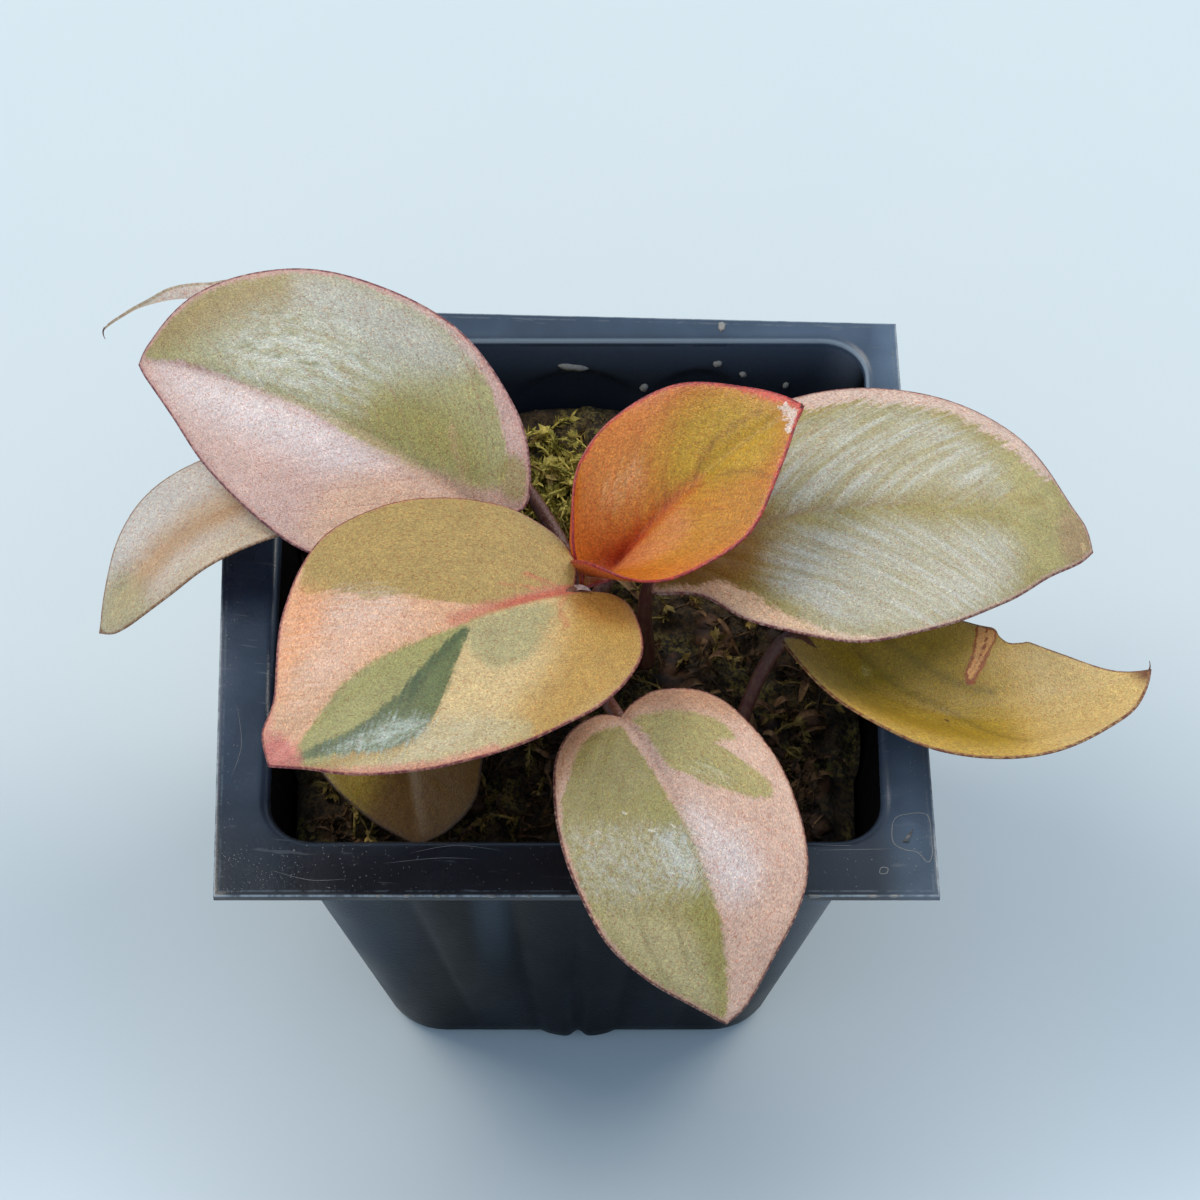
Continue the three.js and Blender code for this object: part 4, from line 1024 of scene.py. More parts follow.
# Colour of a leaf: patches with mottling, veins, edge and fine cells over them.
def leaf_material(leaf):
    look = Look(leaf["name"])
    place = look.attribute("leaf_place", "Vector")
    veins = look.attribute("side_veins", "Vector")
    under = look.attribute("under")
    seed = look.parts(veins)[2]
    spot = look.shift(place, look.join(seed, seed))
    streaks = look.noise(look.stretch(veins, (1.0, 0.16, 1)), 1.3, 2.0)
    fine_streaks = look.noise(look.stretch(veins, (1.0, 0.1, 1)), 4.5, 1.0)
    blotches = look.noise(spot, 0.25, 2.0)
    crumbs = look.noise(spot, 1.6, 3.0, 0.6)
    ragged = look.add(look.swing(streaks, 4.5), look.swing(crumbs, 3.0))

    colour = seen(*leaf["colour"])
    for painted in leaf["patches"]:
        depth = look.attribute("patch_" + painted["name"])
        rough_depth = look.add(depth, look.times(ragged, painted["feather"]))
        share = look.ease(rough_depth, -painted["soft"], painted["soft"], 0.0, painted["share"])
        colour = look.blend(share, colour, painted["paint"])

    # Broad and streaky changes of tone.
    tone = look.add(look.swing(blotches, 0.3), look.swing(fine_streaks, 0.22), look.swing(crumbs, 0.3), 1.0)
    colour = look.scaled(colour, tone)

    # Side veins, then the midrib.
    along, across, depth = look.parts(place)
    near_vein = look.math("PINGPONG", look.parts(veins)[0], vein_spacing / 2)
    vein_line = look.ease(near_vein, 0.03, 0.3, 1.0, 0.0)
    vein_line = look.times(vein_line, look.ease(depth, 0.4, 4.0))
    vein_line = look.times(vein_line, look.ease(crumbs, 0.35, 0.65))
    vein_paint, vein_share = leaf["veins"]
    colour = look.blend(look.times(vein_line, vein_share), colour, seen(*vein_paint))
    rib_paint, rib_share, rib_reach = leaf["midrib"]
    rib_width = look.ease(along, 0, leaf["length"], 0.8, 0.2)
    from_rib = look.math("DIVIDE", look.math("ABSOLUTE", across), rib_width)
    rib_line = look.ease(from_rib, 0.3, 1.4, rib_share, 0.0)
    rib_line = look.times(rib_line, look.ease(along, rib_reach * 0.5, rib_reach, 1.0, 0.0))
    colour = look.blend(rib_line, colour, seen(*rib_paint))

    # Painted sheens: highlights painted into the colour, partly the leaf's own silvery tint.
    colour, gloss, wrinkles = add_painted_sheens(look, leaf, colour, veins, spot, ragged)
    colour = look.blend(look.times(under, 0.7), colour, seen(*leaf.get("back", usual_back)))

    # A fine dark line along the edge, and differently coloured tissue just inside it.
    rim_paint, rim_width, rim_share = leaf["rim"]
    rim_depth = look.add(depth, look.times(ragged, 0.2))
    rim = look.ease(rim_depth, rim_width * 0.5, rim_width, rim_share, 0.0)
    colour = look.blend(rim, colour, seen(*rim_paint))
    broken = look.ease(crumbs, 0.36, 0.58, 0.4, 1.0)
    edge_line = look.times(look.ease(depth, 0.16, 0.42, 1.0, 0.0), broken)
    colour = look.blend(edge_line, colour, seen(*leaf["edge"]))

    # Single cells, each a little lighter, darker or redder than the next.
    from_middle, cell_colour = look.cells(spot, 5.0)
    cell_red, cell_light, cell_gold = look.node("ShaderNodeSeparateColor", {0: cell_colour}).outputs
    grain = leaf.get("grain", usual_grain)
    colour = look.scaled(colour, look.ease(cell_light, 0, 1, 1 - grain, 1 + grain))
    gold = look.blend(look.ease(cell_gold, 0.76, 0.95), unchanged, gold_cell)
    red = look.blend(look.ease(cell_red, 0.74, 0.95), unchanged, red_cell)
    colour = look.stretch(look.stretch(colour, gold), red)

    height = look.add(look.times(crumbs, 0.5), look.times(from_middle, 0.35))
    height = look.add(height, look.times(wrinkles, 2.2))
    normal = look.bump(height, 0.1, 0.7)
    rough = look.ease(crumbs, 0.3, 0.7, *leaf.get("gloss", usual_gloss))
    rough = look.times(rough, look.ease(gloss, 0.0, 1.0, 1.0, 0.7))
    return look.finish(colour, rough, normal, lets_through=leaf.get("lets_through", usual_lets_through))


# Painted sheens: pale wrinkles painted in as highlights, partly the leaf's own silvery tint, which also lower
# the roughness and add a wrinkled relief.
def add_painted_sheens(look, leaf, colour, veins, spot, ragged):
    gloss = 0.0
    wrinkles = 0.0
    for painted in leaf.get("sheens", []):
        depth = look.attribute("patch_" + painted["name"])
        inside = look.ease(look.add(depth, look.times(ragged, 0.9)), -painted["soft"], painted["soft"])
        grid = look.stretch(veins if painted["veins"] else spot, (*painted["stretch"], 1))
        ripple = look.noise(grid, painted["scale"], 4.0, 0.7)
        line = look.times(inside, look.ease(ripple, 0.34, 0.68, painted["least"], 1.0))
        colour = look.blend(look.times(line, painted["share"]), colour, painted["paint"])
        gloss = look.add(gloss, line)
        wrinkles = look.add(wrinkles, look.times(inside, ripple))
    return colour, gloss, wrinkles


# Stalks: purple-red and brown, streaked along.
stalk_looks = []


def stalk_look():
    if stalk_looks:
        return stalk_looks[0]
    look = Look("stalk")
    where = look.position()
    streak = look.noise(look.stretch(where, (1.6, 1.6, 0.25)), 1.4, 3.0)
    fleck = look.noise(where, 3.0, 3.0)
    colour = look.blend(look.ease(streak, 0.35, 0.65), seen(100, 50, 46), seen(118, 80, 58))
    colour = look.blend(look.ease(fleck, 0.55, 0.75, 0.0, 0.5), colour, seen(104, 40, 44))
    normal = look.bump(look.add(streak, look.times(fleck, 0.4)), 0.15)
    stalk_looks.append(look.finish(colour, 0.42, normal))
    return stalk_looks[0]


# Pot outline: straight stations along each side, then the stations of the corner's arc.
side_stations = 84
corner_stations = 10


def outline_stations():
    side, along, turn = [], [], []
    for number in range(4):
        for j in range(side_stations):
            side.append(number)
            along.append(mix(-1, 1, j / side_stations))
            turn.append(0)
        for c in range(corner_stations):
            side.append(number)
            along.append(1)
            turn.append(c / corner_stations)
    return np.array(side), np.array(along, float), np.array(turn, float)


stations = outline_stations()


# How far a rib stands out from the pot's side at one place: along runs from -1 to 1 between the corners.
def rib_bulge(along, z):
    fade = smoothstep(0, outer_rib_fade, z)

    def rib(centre, half_width):
        across = np.abs(np.abs(along) - centre) / half_width
        top = pot_height - collar_height - arch_rise * np.clip(across, 0, 1) ** 2
        hump = np.cos(np.clip(across, 0, 1) * np.pi / 2) ** rib_roundness
        return np.where(across >= 1, 0, hump) * smoothstep(0, arch_softness, top - z)

    groove_left = 1 - smoothstep(groove["full_below"], groove["gone_above"], z)
    kept = 1 - bell(along, groove["half_width"]) * groove_left
    return rib_depth * (rib(*middle_rib) * kept + rib(*outer_rib) * fade)


def turned_to_side(x, y, side, z):
    cos = np.array([1, 0, -1, 0])[side]
    sin = np.array([0, 1, 0, -1])[side]
    return np.stack([x * cos - y * sin, x * sin + y * cos, np.full(x.shape, float(z))], -1)


# One ring of the pot's wall at height z, set in from the outside by inset.
def wall_ring(z, inset):
    side, along, turn = stations
    t = np.clip(z / pot_height, 0, 1)
    radius = mix(base_corner_radius, mouth_corner_radius, t)
    straight = mix(base_half, mouth_half, t) - radius
    angle = turn * np.pi / 2
    bulge = np.where(turn > 0, 0, rib_bulge(along, z))
    out = radius + bulge - inset
    x = straight * np.where(turn > 0, 1, along) + np.sin(angle) * out
    y = -straight - np.cos(angle) * out
    return turned_to_side(x, y, side, z)


# One ring along the rim's straight outer edge, with the middle of each corner's arc at the corner.
def rim_ring(z, inset=0.0):
    side, along, turn = stations
    corners = np.array(rim_corners, float)
    middle = corners.mean(0)
    corners = middle + (corners - middle) * (1 - inset / 45)
    reach = 0.8
    beyond = np.where(turn > 0, mix(reach, 2 - reach, turn), reach * along)
    fraction = ((beyond + 1) / 2)[:, None]
    a, b, c = corners[side], corners[(side + 1) % 4], corners[(side + 2) % 4]
    flat = np.where(fraction <= 1, mix(a, b, fraction), mix(b, c, fraction - 1))
    return np.column_stack([flat, np.full(len(flat), float(z))])


def rings_between(a, b, count):
    """Rings between two rings, without the first and with the last."""
    return [mix(a, b, k / count) for k in range(1, count + 1)]


def flange_lift(x, y, share):
    return flange_wave["height"] * waves(x, y, flange_wave["seed"], flange_wave["size"]) * share


# The outer edge of the flange, from its underside to its upper face.
def edge_rings():
    under = pot_height - rim_thickness
    edge = rim_edge_radius
    rings = [rim_ring(under, edge), rim_ring(under + edge), rim_ring(under + rim_thickness / 2, 0.03)]
    rings += [rim_ring(pot_height - edge), rim_ring(pot_height - edge / 3, edge / 3)]
    return rings + [rim_ring(pot_height, edge)]


# The flange's upper face, and the fold that rounds it into the mouth.
def flange_rings(start):
    steps = 12
    crossing = rings_between(start, wall_ring(pot_height, pot_wall - fold_radius), steps)
    for k, ring in enumerate(crossing, 1):
        ring[:, 2] += flange_lift(*ring[:, :2].T, np.sin(np.pi * k / steps))
    for angle in np.linspace(0, np.pi / 2, 7)[1:]:
        drop = fold_radius * (1 - np.cos(angle))
        crossing.append(wall_ring(pot_height - drop, pot_wall - fold_radius * (1 - np.sin(angle))))
    return crossing


# The wall outside, the flange's underside, edge and upper face, and the wall inside down to the floor.
def pot_piece():
    under = pot_height - rim_thickness
    rings = [wall_ring(z, inset) for z, inset in foot_outside]
    rings += [wall_ring(z, 0) for z in [*wall_outside, under]]
    outer = edge_rings()
    rings += rings_between(rings[-1], outer[0], 4) + outer[1:]
    rings_outside = len(rings)
    rings += flange_rings(rings[-1])
    rings += [wall_ring(z, pot_wall) for z in wall_inside]
    rings += [wall_ring(z, pot_wall + inset) for z, inset in foot_inside]
    points, faces = closed_rings(rings, (0, 0, 0), (0, 0, floor_thickness))
    lowest = points[:, 2][np.array([face[:3] for face in faces])].min(1)
    kinds = (lowest > under - 0.01).astype(int)
    first = np.array([face[0] for face in faces]) // len(rings[0])
    kinds[(first >= rings_outside) & (kinds == 0)] = 2
    looks = [pot_outside_material(), pot_flange_material(), pot_inside_material()]
    piece = mesh_object("pot_shell", points, faces, looks, kinds=kinds)
    for x in (-drain_offset, drain_offset):
        for y in (-drain_offset, drain_offset):
            cut_drain(piece, x, y)
    place_piece(piece, "pot_plastic", "pot")


def cut_drain(piece, x, y):
    sides = drain_sides
    angle = np.arange(sides) * 2 * np.pi / sides
    ring = np.column_stack([x + drain_radius * np.cos(angle), y + drain_radius * np.sin(angle), 0 * angle])
    cutter = Shape()
    faces = ring_faces(2, sides) + [tuple(range(sides))[::-1], tuple(range(sides, 2 * sides))]
    cutter.add(np.vstack([ring + (0, 0, -2), ring + (0, 0, 4)]), faces)
    tool = cutter.made("drain_cutter", [])
    cut = piece.modifiers.new("drain", "BOOLEAN")
    cut.operation = "DIFFERENCE"
    cut.object = tool
    bpy.context.view_layer.update()
    done = bpy.data.meshes.new_from_object(piece.evaluated_get(bpy.context.evaluated_depsgraph_get()))
    piece.modifiers.clear()
    piece.data = done
    bpy.data.objects.remove(tool)


# Pale marks on the flange. Places are x and y in millimetres, and each chip has its x and its length.
stain_outlines = [
    [(39.9, -36.3), (41.1, -35.2), (44.2, -35.2), (44.6, -38.8), (44.6, -41), (44, -42), (42.8, -40.6),
     (41.2, -40.2), (39.8, -39.1)],
    [(38, -43.6), (38.8, -43.6), (39, -42.9), (38.2, -42.8)],
]
stain_width = 0.045
wedge_fleck = [(42.4, -37.2), (40.9, -39.1), (41.7, -39.3)]
wedge_foot = (41.7, -38.5, pot_height - 0.1)
edge_chips = [(-24.4, 0.5), (-20.9, 0.7), (-17.1, 0.5), (-10.5, 0.9), (-5.7, 0.4), (36.9, 0.9), (39.6, 0.8),
              (29.7, 1.2)]
chip_place = (-46.85, pot_height - 0.05)
chip_size = (0.22, 0.2)
back_crumb = {"place": (19.5, 41), "size": (1.0, 0.55, 0.2), "turned": 80}
scratch_width = 0.035
fine_scratches = [
    [(29, -39.4), (34, -39.6), (40.3, -39.2)],
    [(30, -40.3), (35, -40.2), (40, -40.1)],
    [(-27, -39.8), (-22, -38.6), (-16, -38.9)],
    [(-21, -40.8), (-15, -39.6), (-9, -40.4)],
    [(-24, -42.2), (-17, -41.4), (-12, -41.6)],
    [(-38, -43.2), (-33, -44.6), (-28, -44.4)],
    [(-43.6, -30), (-42.4, -25), (-43.2, -19)],
    [(8, -44.6), (14, -43.9), (19, -44.8)],
]
# Pale flecks stuck to the inside of the back wall, each from one x and z to another.
wall_flecks = [[(-2.6, 70.3), (1.6, 69.7)], [(8.8, 65.6), (9.4, 66.8)], [(18.4, 70.4), (19.6, 70.9)],
               [(22.2, 68.4), (22.8, 69)], [(28, 66.8), (28.7, 66.5)]]
fleck_widths = [0.1, 0.42, 0.6, 0.5, 0.56, 0.36, 0.08]

# Dust lies along the front of the flange, thicker at its left corner, and a third of it along the two sides.
dust = {"count": 520, "size": (0.02, 0.075), "inset": (0.3, 7), "left_share": 0.55, "spread": 20,
        "front_reach": 44, "side_share": 0.35, "side": (-44, 38)}
dust_corner = (-44.7, -46.6)


def inner_back_wall(x, z):
    half = mix(base_half, mouth_half, z / pot_height)
    straight = half - mix(base_corner_radius, mouth_corner_radius, z / pot_height)
    return x, half - pot_wall + float(rib_bulge(x / straight, z)), z


def rim_side_edge(side, y):
    (ax, ay), (bx, by) = rim_corners[1:3] if side > 0 else (rim_corners[0], rim_corners[3])
    return mix(ax, bx, (y - ay) / (by - ay))


def flange_height(x, y):
    """Height of the flange's upper face, and of its fold into the mouth."""
    out = max(abs(x), abs(y))
    fold_start = mouth_half + fold_radius - pot_wall
    over = np.clip(fold_start - out, 0, fold_radius)
    drop = fold_radius - np.sqrt(fold_radius**2 - over**2)
    share = np.sin(np.pi * np.clip((out - fold_start) / (flange_end - fold_start), 0, 1))
    return pot_height + flange_lift(np.float64(x), np.float64(y), share) - drop


def on_flange(places):
    return [(x, y, flange_height(x, y)) for x, y in places]


def dust_place(random):
    along, inset = random.uniform(-0.97, 0.97), random.uniform(*dust["inset"])
    x = dust["front_reach"] * along
    if random.uniform() < dust["left_share"]:
        x = dust_corner[0] + dust["spread"] * abs(random.normal(0, 0.5))
    if random.uniform() < dust["side_share"]:
        side, y = random.choice([-1, 1]), random.uniform(*dust["side"])
        return rim_side_edge(side, y) - side * (0.3 + 0.35 * inset), y
    return x, dust_corner[1] + inset


def marks_piece():
    random = np.random.default_rng(77)
    shape = Shape()
    for outline in stain_outlines:
        line = closed_line(outline)
        shape.tube(on_flange(np.vstack([line, line[:1]])), stain_width, 6)
    for points in fine_scratches:
        line = spline(points, np.linspace(0, 1, 14))
        shape.tube(on_flange(line), scratch_width * np.sin(np.linspace(0.05, np.pi - 0.05, 14)), 4)
    ring = [(x, y, z + 0.08) for x, y, z in on_flange(wedge_fleck)]
    shape.add(ring + [wedge_foot], [(0, 1, 2), (1, 0, 3), (2, 1, 3), (0, 2, 3)])
    for x, length in edge_chips:
        add_crumb(shape, random, (x, *chip_place), (length, *chip_size), 0)
    add_crumb(shape, random, *on_flange([back_crumb["place"]]), back_crumb["size"], back_crumb["turned"])
    for fleck in wall_flecks:
        line = [inner_back_wall(x, z) for x, z in spline(fleck, np.linspace(0, 1, len(fleck_widths)))]
        shape.tube(line, fleck_widths, 6)
    for _ in range(dust["count"]):
        place = on_flange([dust_place(random)])[0]
        size = random.uniform(*dust["size"])
        add_crumb(shape, random, place, (size * 1.6, size, size * 0.6), random.uniform(0, 180))
    place_piece(shape.made("rim_marks", [dust_material()]), "pot_plastic")


def add_crumb(shape, random, place, size, turned, kind=0):
    """A small rough lump with its longest side turned so many degrees from X."""
    angle = np.radians(turned)
    corners = []
    for z, wide in ((-0.6, 0.8), (0.3, 1.0), (0.9, 0.45)):
        for k in range(6):
            around = k * np.pi / 3
            reach = wide * random.uniform(0.7, 1.15)
            x, y = size[0] * reach * np.cos(around), size[1] * reach * np.sin(around)
            turned_x = x * np.cos(angle) - y * np.sin(angle)
            turned_y = x * np.sin(angle) + y * np.cos(angle)
            corners.append((turned_x, turned_y, z * size[2]))
    faces = ring_faces(3, 6) + [(5, 4, 3, 2, 1, 0), (12, 13, 14, 15, 16, 17)]
    shape.add(np.array(corners) + place, faces, kind)


def dust_material():
    look = Look("dust")
    grain = look.noise(look.position(), 2.2, 3.0)
    colour = look.blend(grain, seen(98, 108, 120), seen(168, 168, 164))
    return look.finish(colour, 0.8, look.bump(grain, 0.05))


# The flange: black plastic with painted bluish reflections and a painted highlight along its fold at the
# back, fine scratches and scattered pale dust.
def pot_flange_material():
    look = Look("pot_flange")
    where = look.position()
    x, y, z = look.parts(where)
    grain = look.noise(where, 1.8, 3.0, 0.6)
    cloud = look.noise(where, 0.06, 3.0, 0.6)
    colour = look.blend(grain, seen(13, 16, 22), seen(22, 26, 33))
    # Painted reflection: a patchy bluish tint of the pale surroundings, weakest along the front.
    painted_sky_reflection = look.times(look.ease(cloud, 0.3, 0.7, 0.45, 1.0), look.ease(y, -44, -28, 0.12, 0.7))
    colour = look.blend(painted_sky_reflection, colour, seen(58, 78, 108))
    # Painted reflection: a paler bluish tint at the right front of the flange and along the back.
    painted_right_reflection = look.times(look.ease(x, 37, 43), look.ease(y, -46, -30, 0.35, 0.7))
    painted_reflection = look.math("MAXIMUM", painted_right_reflection, look.ease(y, 34, 40, 0.0, 0.24))
    colour = look.blend(look.times(painted_reflection, look.ease(cloud, 0.3, 0.7, 0.6, 1.0)), colour, seen(104, 130, 160))
    tiny = look.ease(look.cells(where, 2.6)[0], 0.06, 0.13, 1.0, 0.0)
    patchy = look.ease(look.noise(where, 0.12, 3.0, 0.6), 0.46, 0.64)
    colour = look.blend(look.times(tiny, patchy, 0.45), colour, seen(124, 130, 136))
    scratch_place = look.join(look.times(x, 0.6), look.times(look.add(y, look.times(x, 0.12)), 5), z)
    scratch = look.ease(look.noise(scratch_place, 0.3, 2.0), 0.66, 0.74)
    colour = look.blend(look.times(scratch, 0.3), colour, seen(108, 116, 128))

    # The flange's outer edge is paler along its upper and lower edges, with a second pale line just inside
    # it.
    edge = rim_distance(look, x, y)
    edge_noise = look.noise(look.stretch(where, (1, 1, 0.2)), 0.5, 3.0, 0.7)
    arris = look.math("MAXIMUM", look.ease(z, 74.7, 74.9), look.ease(z, 73.86, 73.98, 0.6, 0.0))
    edge_share = look.ease(edge_noise, 0.35, 0.6, 0.25, 0.95)
    pale_line = look.times(look.ease(edge, 0.12, 0.3, 1.0, 0.0), edge_share, arris)
    colour = look.blend(pale_line, colour, seen(150, 164, 178))
    second = look.ease(look.math("ABSOLUTE", look.add(edge, -0.75)), 0.05, 0.2, 0.45, 0.0)
    second = look.times(second, look.ease(edge_noise, 0.4, 0.6), arris)
    colour = look.blend(second, colour, seen(104, 116, 130))

    # A painted highlight along the rounded fold into the mouth, at the back.
    fold = look.ease(look.math("ABSOLUTE", look.add(z, -74.5)), 0.1, 0.34, 0.75, 0.0)
    fold = look.times(fold, look.ease(edge, 1.5, 2.5), look.ease(y, 12, 34))
    colour = look.blend(fold, colour, seen(150, 172, 194))
    height = look.add(look.times(grain, 0.4), look.times(tiny, 0.8))
    rough = look.ease(cloud, 0.3, 0.7, 0.22, 0.34)
    return look.finish(colour, rough, look.bump(height, 0.06))


# The wall outside: painted bluish reflections towards the front's two sides, and a painted highlight beside
# its middle rib.
def pot_outside_material():
    look = Look("pot_outside")
    where = look.position()
    x, y, z = look.parts(where)
    colour, cloud, grain = wall_plastic(look, where)
    # Painted reflection: paler towards both sides of the front, more so higher up.
    to_side = look.ease(look.math("ABSOLUTE", x), 16, 33, 0.02, 0.62)
    painted_reflection = look.times(to_side, look.ease(y, -30, -20, 1.0, 0.1))
    painted_reflection = look.times(painted_reflection, look.ease(z, 8, 66, 0.4, 1.0))
    painted_reflection = look.times(painted_reflection, look.ease(cloud, 0.3, 0.7, 0.5, 1.0))
    paint = look.blend(look.ease(x, 10, 32), seen(92, 112, 134), seen(132, 146, 164))
    colour = look.blend(painted_reflection, colour, paint)
    # Painted highlight: a soft pale stripe beside the middle rib of the front.
    rib_highlight = look.ease(look.math("ABSOLUTE", look.add(x, 11)), 0.5, 3.5, 0.3, 0.0)
    rib_highlight = look.times(rib_highlight, look.times(look.ease(z, 20, 60), look.ease(y, -30, -20, 1.0, 0.0)))
    colour = look.blend(rib_highlight, colour, seen(92, 112, 134))
    return finish_wall(look, where, colour, cloud, grain)


# The wall inside, with painted light making the top of its back paler.
def pot_inside_material():
    look = Look("pot_inside")
    where = look.position()
    _, y, z = look.parts(where)
    colour, cloud, grain = wall_plastic(look, where)
    # Painted light on the top of the back wall inside.
    painted_light_back_top = look.times(look.ease(y, 33, 38), look.ease(z, 66, 74.5, 0.3, 1.0))
    colour = look.blend(painted_light_back_top, colour, seen(84, 100, 124))
    return finish_wall(look, where, colour, cloud, grain)


# What both sides of the wall share: black plastic with a fine grain, tiny pale specks and uneven gloss.
def wall_plastic(look, where):
    grain = look.noise(where, 1.8, 3.0, 0.6)
    cloud = look.noise(look.stretch(where, (1, 1, 0.5)), 0.07, 3.0, 0.6)
    return look.blend(grain, seen(6, 7, 10), seen(12, 14, 19)), cloud, grain


def finish_wall(look, where, colour, cloud, grain):
    tiny = look.ease(look.cells(where, 1.7)[0], 0.05, 0.12, 1.0, 0.0)
    colour = look.blend(look.times(tiny, 0.12), colour, seen(132, 136, 138))
    rough = look.ease(cloud, 0.3, 0.7, 0.26, 0.4)
    normal = look.bump(look.add(grain, look.times(cloud, 2)), 0.05)
    return look.finish(colour, rough, normal, 0.04)


def rim_distance(look, x, y):
    """How far a place on the flange is from its outer edge."""
    nearest = None
    for (ax, ay), (bx, by) in zip(rim_corners, rim_corners[1:] + rim_corners[:1]):
        length = np.hypot(bx - ax, by - ay)
        across, along = -(by - ay) / length, (bx - ax) / length
        far = look.add(look.times(x, across), look.times(y, along), -(ax * across + ay * along))
        nearest = look.math("MINIMUM", nearest, far) if nearest else far
    return nearest


# Height of the moss above its mean level.
def moss_relief(x, y):
    broad = np.sin(x * 0.21 + 1.3) * np.cos(y * 0.19 - 0.4)
    middle = np.sin(x * 0.53 + y * 0.31) * np.cos(y * 0.47 - x * 0.22 + 0.9)
    fine = np.sin(x * 1.27 - y * 0.83 + 2.1) * np.sin(y * 1.13 + x * 0.59)
    return moss_hummock * (0.7 * broad + 0.55 * middle + 0.4 * fine)


def moss_height(x, y):
    height = moss_level + moss_relief(x, y)
    for seed, size, lump in moss_lumps:
        height = height + lump * waves(x, y, seed, size)
    return height


def moss_bed_piece():
    inset = pot_wall + moss_clearance
    bottom = floor_thickness + 0.4
    rings = [wall_ring(bottom, inset + 1.5), wall_ring(bottom + 1.5, inset)]
    rings += [wall_ring(z, inset) for z in (10, 30, 50, 58)]
    edge = wall_ring(moss_edge_level, inset)
    rings.append(edge)
    for k in range(1, moss_rings + 1):
        x, y = edge[:, :2].T * (1 - k / (moss_rings + 1))
        slump = moss_slump * (1 - smoothstep(0, 0.1, k / moss_rings))
        rings.append(np.column_stack([x, y, moss_height(x, y) - slump]))
    points, faces = closed_rings(rings, (0, 0, bottom), (0, 0, moss_height(0, 0)))
    piece = mesh_object("moss_ground", points, faces, [moss_material()])
    place_piece(piece, "moss", "moss_bed")


def moss_material():
    look = Look("moss_ground")
    where = look.position()
    big = look.noise(where, 0.16, 3.0)
    small = look.noise(where, 1.3, 4.0, 0.7)
    colour = look.blend(look.ease(small, 0.35, 0.65), seen(30, 24, 18), seen(86, 68, 40))
    green = look.times(look.ease(big, 0.45, 0.6), look.ease(small, 0.45, 0.6))
    colour = look.blend(green, colour, seen(124, 116, 56))
    return look.finish(colour, 0.92, look.bump(small, 0.9))


# Loose strands of moss: a curved thread with leaflets along it, ending in a small tuft. Green tufts stand
# behind the stem, olive ones at the right of them, and dead brown strands lie elsewhere. limit keeps them
# inside the pot's wall, and stem_room off the stem.
sprigs = {"count": 640, "green": 170, "field": 33, "limit": 34.7, "stem_room": 7, "reach": (2.0, 6.5),
          "rise": (0.8, 4.5), "sway": 1.6, "radius": (0.27, 0.12), "leaflets": 15, "leaflet": (0.8, 1.5),
          "tuft": 9}
green_place = (-1, 21)
green_size = (12, 13)
olive_place = (22, 24)
olive_size = 13


def sprig_path(random, x, y):
    heading = random.uniform(0, 2 * np.pi)
    reach = random.uniform(*sprigs["reach"])
    rise = random.uniform(*sprigs["rise"])
    sway = random.uniform(-sprigs["sway"], sprigs["sway"])
    ahead = np.array([np.cos(heading), np.sin(heading), 0])
    aside = np.array([-np.sin(heading), np.cos(heading), 0])
    foot = np.array([x, y, moss_height(x, y) - 0.8])
    t = np.linspace(0, 1, 9)[:, None]
    lift = np.sin(t * np.pi * random.uniform(0.5, 0.95)) * rise
    path = foot + ahead * reach * t + aside * sway * np.sin(t * np.pi * 1.4) + lift * (0, 0, 1)
    if np.abs(path[:, :2]).max() > sprigs["limit"]:
        path[:, :2] = 2 * foot[:2] - path[:, :2]
    return path


def sprig_piece():
    random = np.random.default_rng(41)
    shape = Shape()
    for number in range(sprigs["count"] + sprigs["green"]):
        x, y = random.uniform(-sprigs["field"], sprigs["field"], 2)
        if number >= sprigs["count"]:
            x, y = random.normal(green_place, 5)
        near = np.hypot((x - green_place[0]) / green_size[0], (y - green_place[1]) / green_size[1])
        beside = np.hypot(x - olive_place[0], y - olive_place[1]) / olive_size
        greenness = 1.3 * np.exp(-near**2) + 0.45 * np.exp(-beside**2) + 0.35 * waves(x, y, 61, 15)
        greenness += random.normal(-0.1, 0.2)
        kind = int(greenness < 0.45) + int(greenness < 0.0)
        path = sprig_path(random, x, y)
        if np.hypot(x - stem["x"], y - stem["y"]) < sprigs["stem_room"]:
            continue
        shape.tube(path, np.linspace(*sprigs["radius"], len(path)), 4, kind)
        add_leaflets(shape, random, path, kind)
    looks = [
        sprig_material("moss_green", (150, 148, 62), (216, 204, 110)),
        sprig_material("moss_olive", (118, 102, 48), (180, 158, 86)),
        sprig_material("moss_brown", (54, 38, 22), (108, 80, 46)),
    ]
    place_piece(shape.made("moss_sprigs", looks), "moss")


def add_leaflets(shape, random, path, kind):
    tuft = sprigs["tuft"] if kind < 2 else 2
    for t in np.append(np.linspace(0.12, 0.95, sprigs["leaflets"]), np.full(tuft, 1.0)):
        place = t * (len(path) - 1)
        index = min(int(place), len(path) - 2)
        at = mix(path[index], path[index + 1], place - index)
        ahead = path[index + 1] - path[index]
        ahead /= np.linalg.norm(ahead)
        aside = random.normal(0, 1, 3)
        aside -= ahead * np.dot(aside, ahead)
        aside /= np.linalg.norm(aside)
        length = random.uniform(*sprigs["leaflet"]) * (1.25 if t == 1 else 1.0)
        tip = at + (ahead * 0.7 + aside * 0.75) * length
        wing = np.cross(ahead, aside) * length * 0.24
        middle = mix(at, tip, 0.45)
        shape.add([at, middle + wing, tip, middle - wing], [(0, 1, 2), (0, 2, 3)], kind)


# Bark chips and curled dead scraps lying on the moss, mostly at the right-hand front.
litter = {"chips": 46, "scraps": 70, "place": (16, -20), "spread": (13, 12), "limit": 30.5, "stem_room": 7.5}


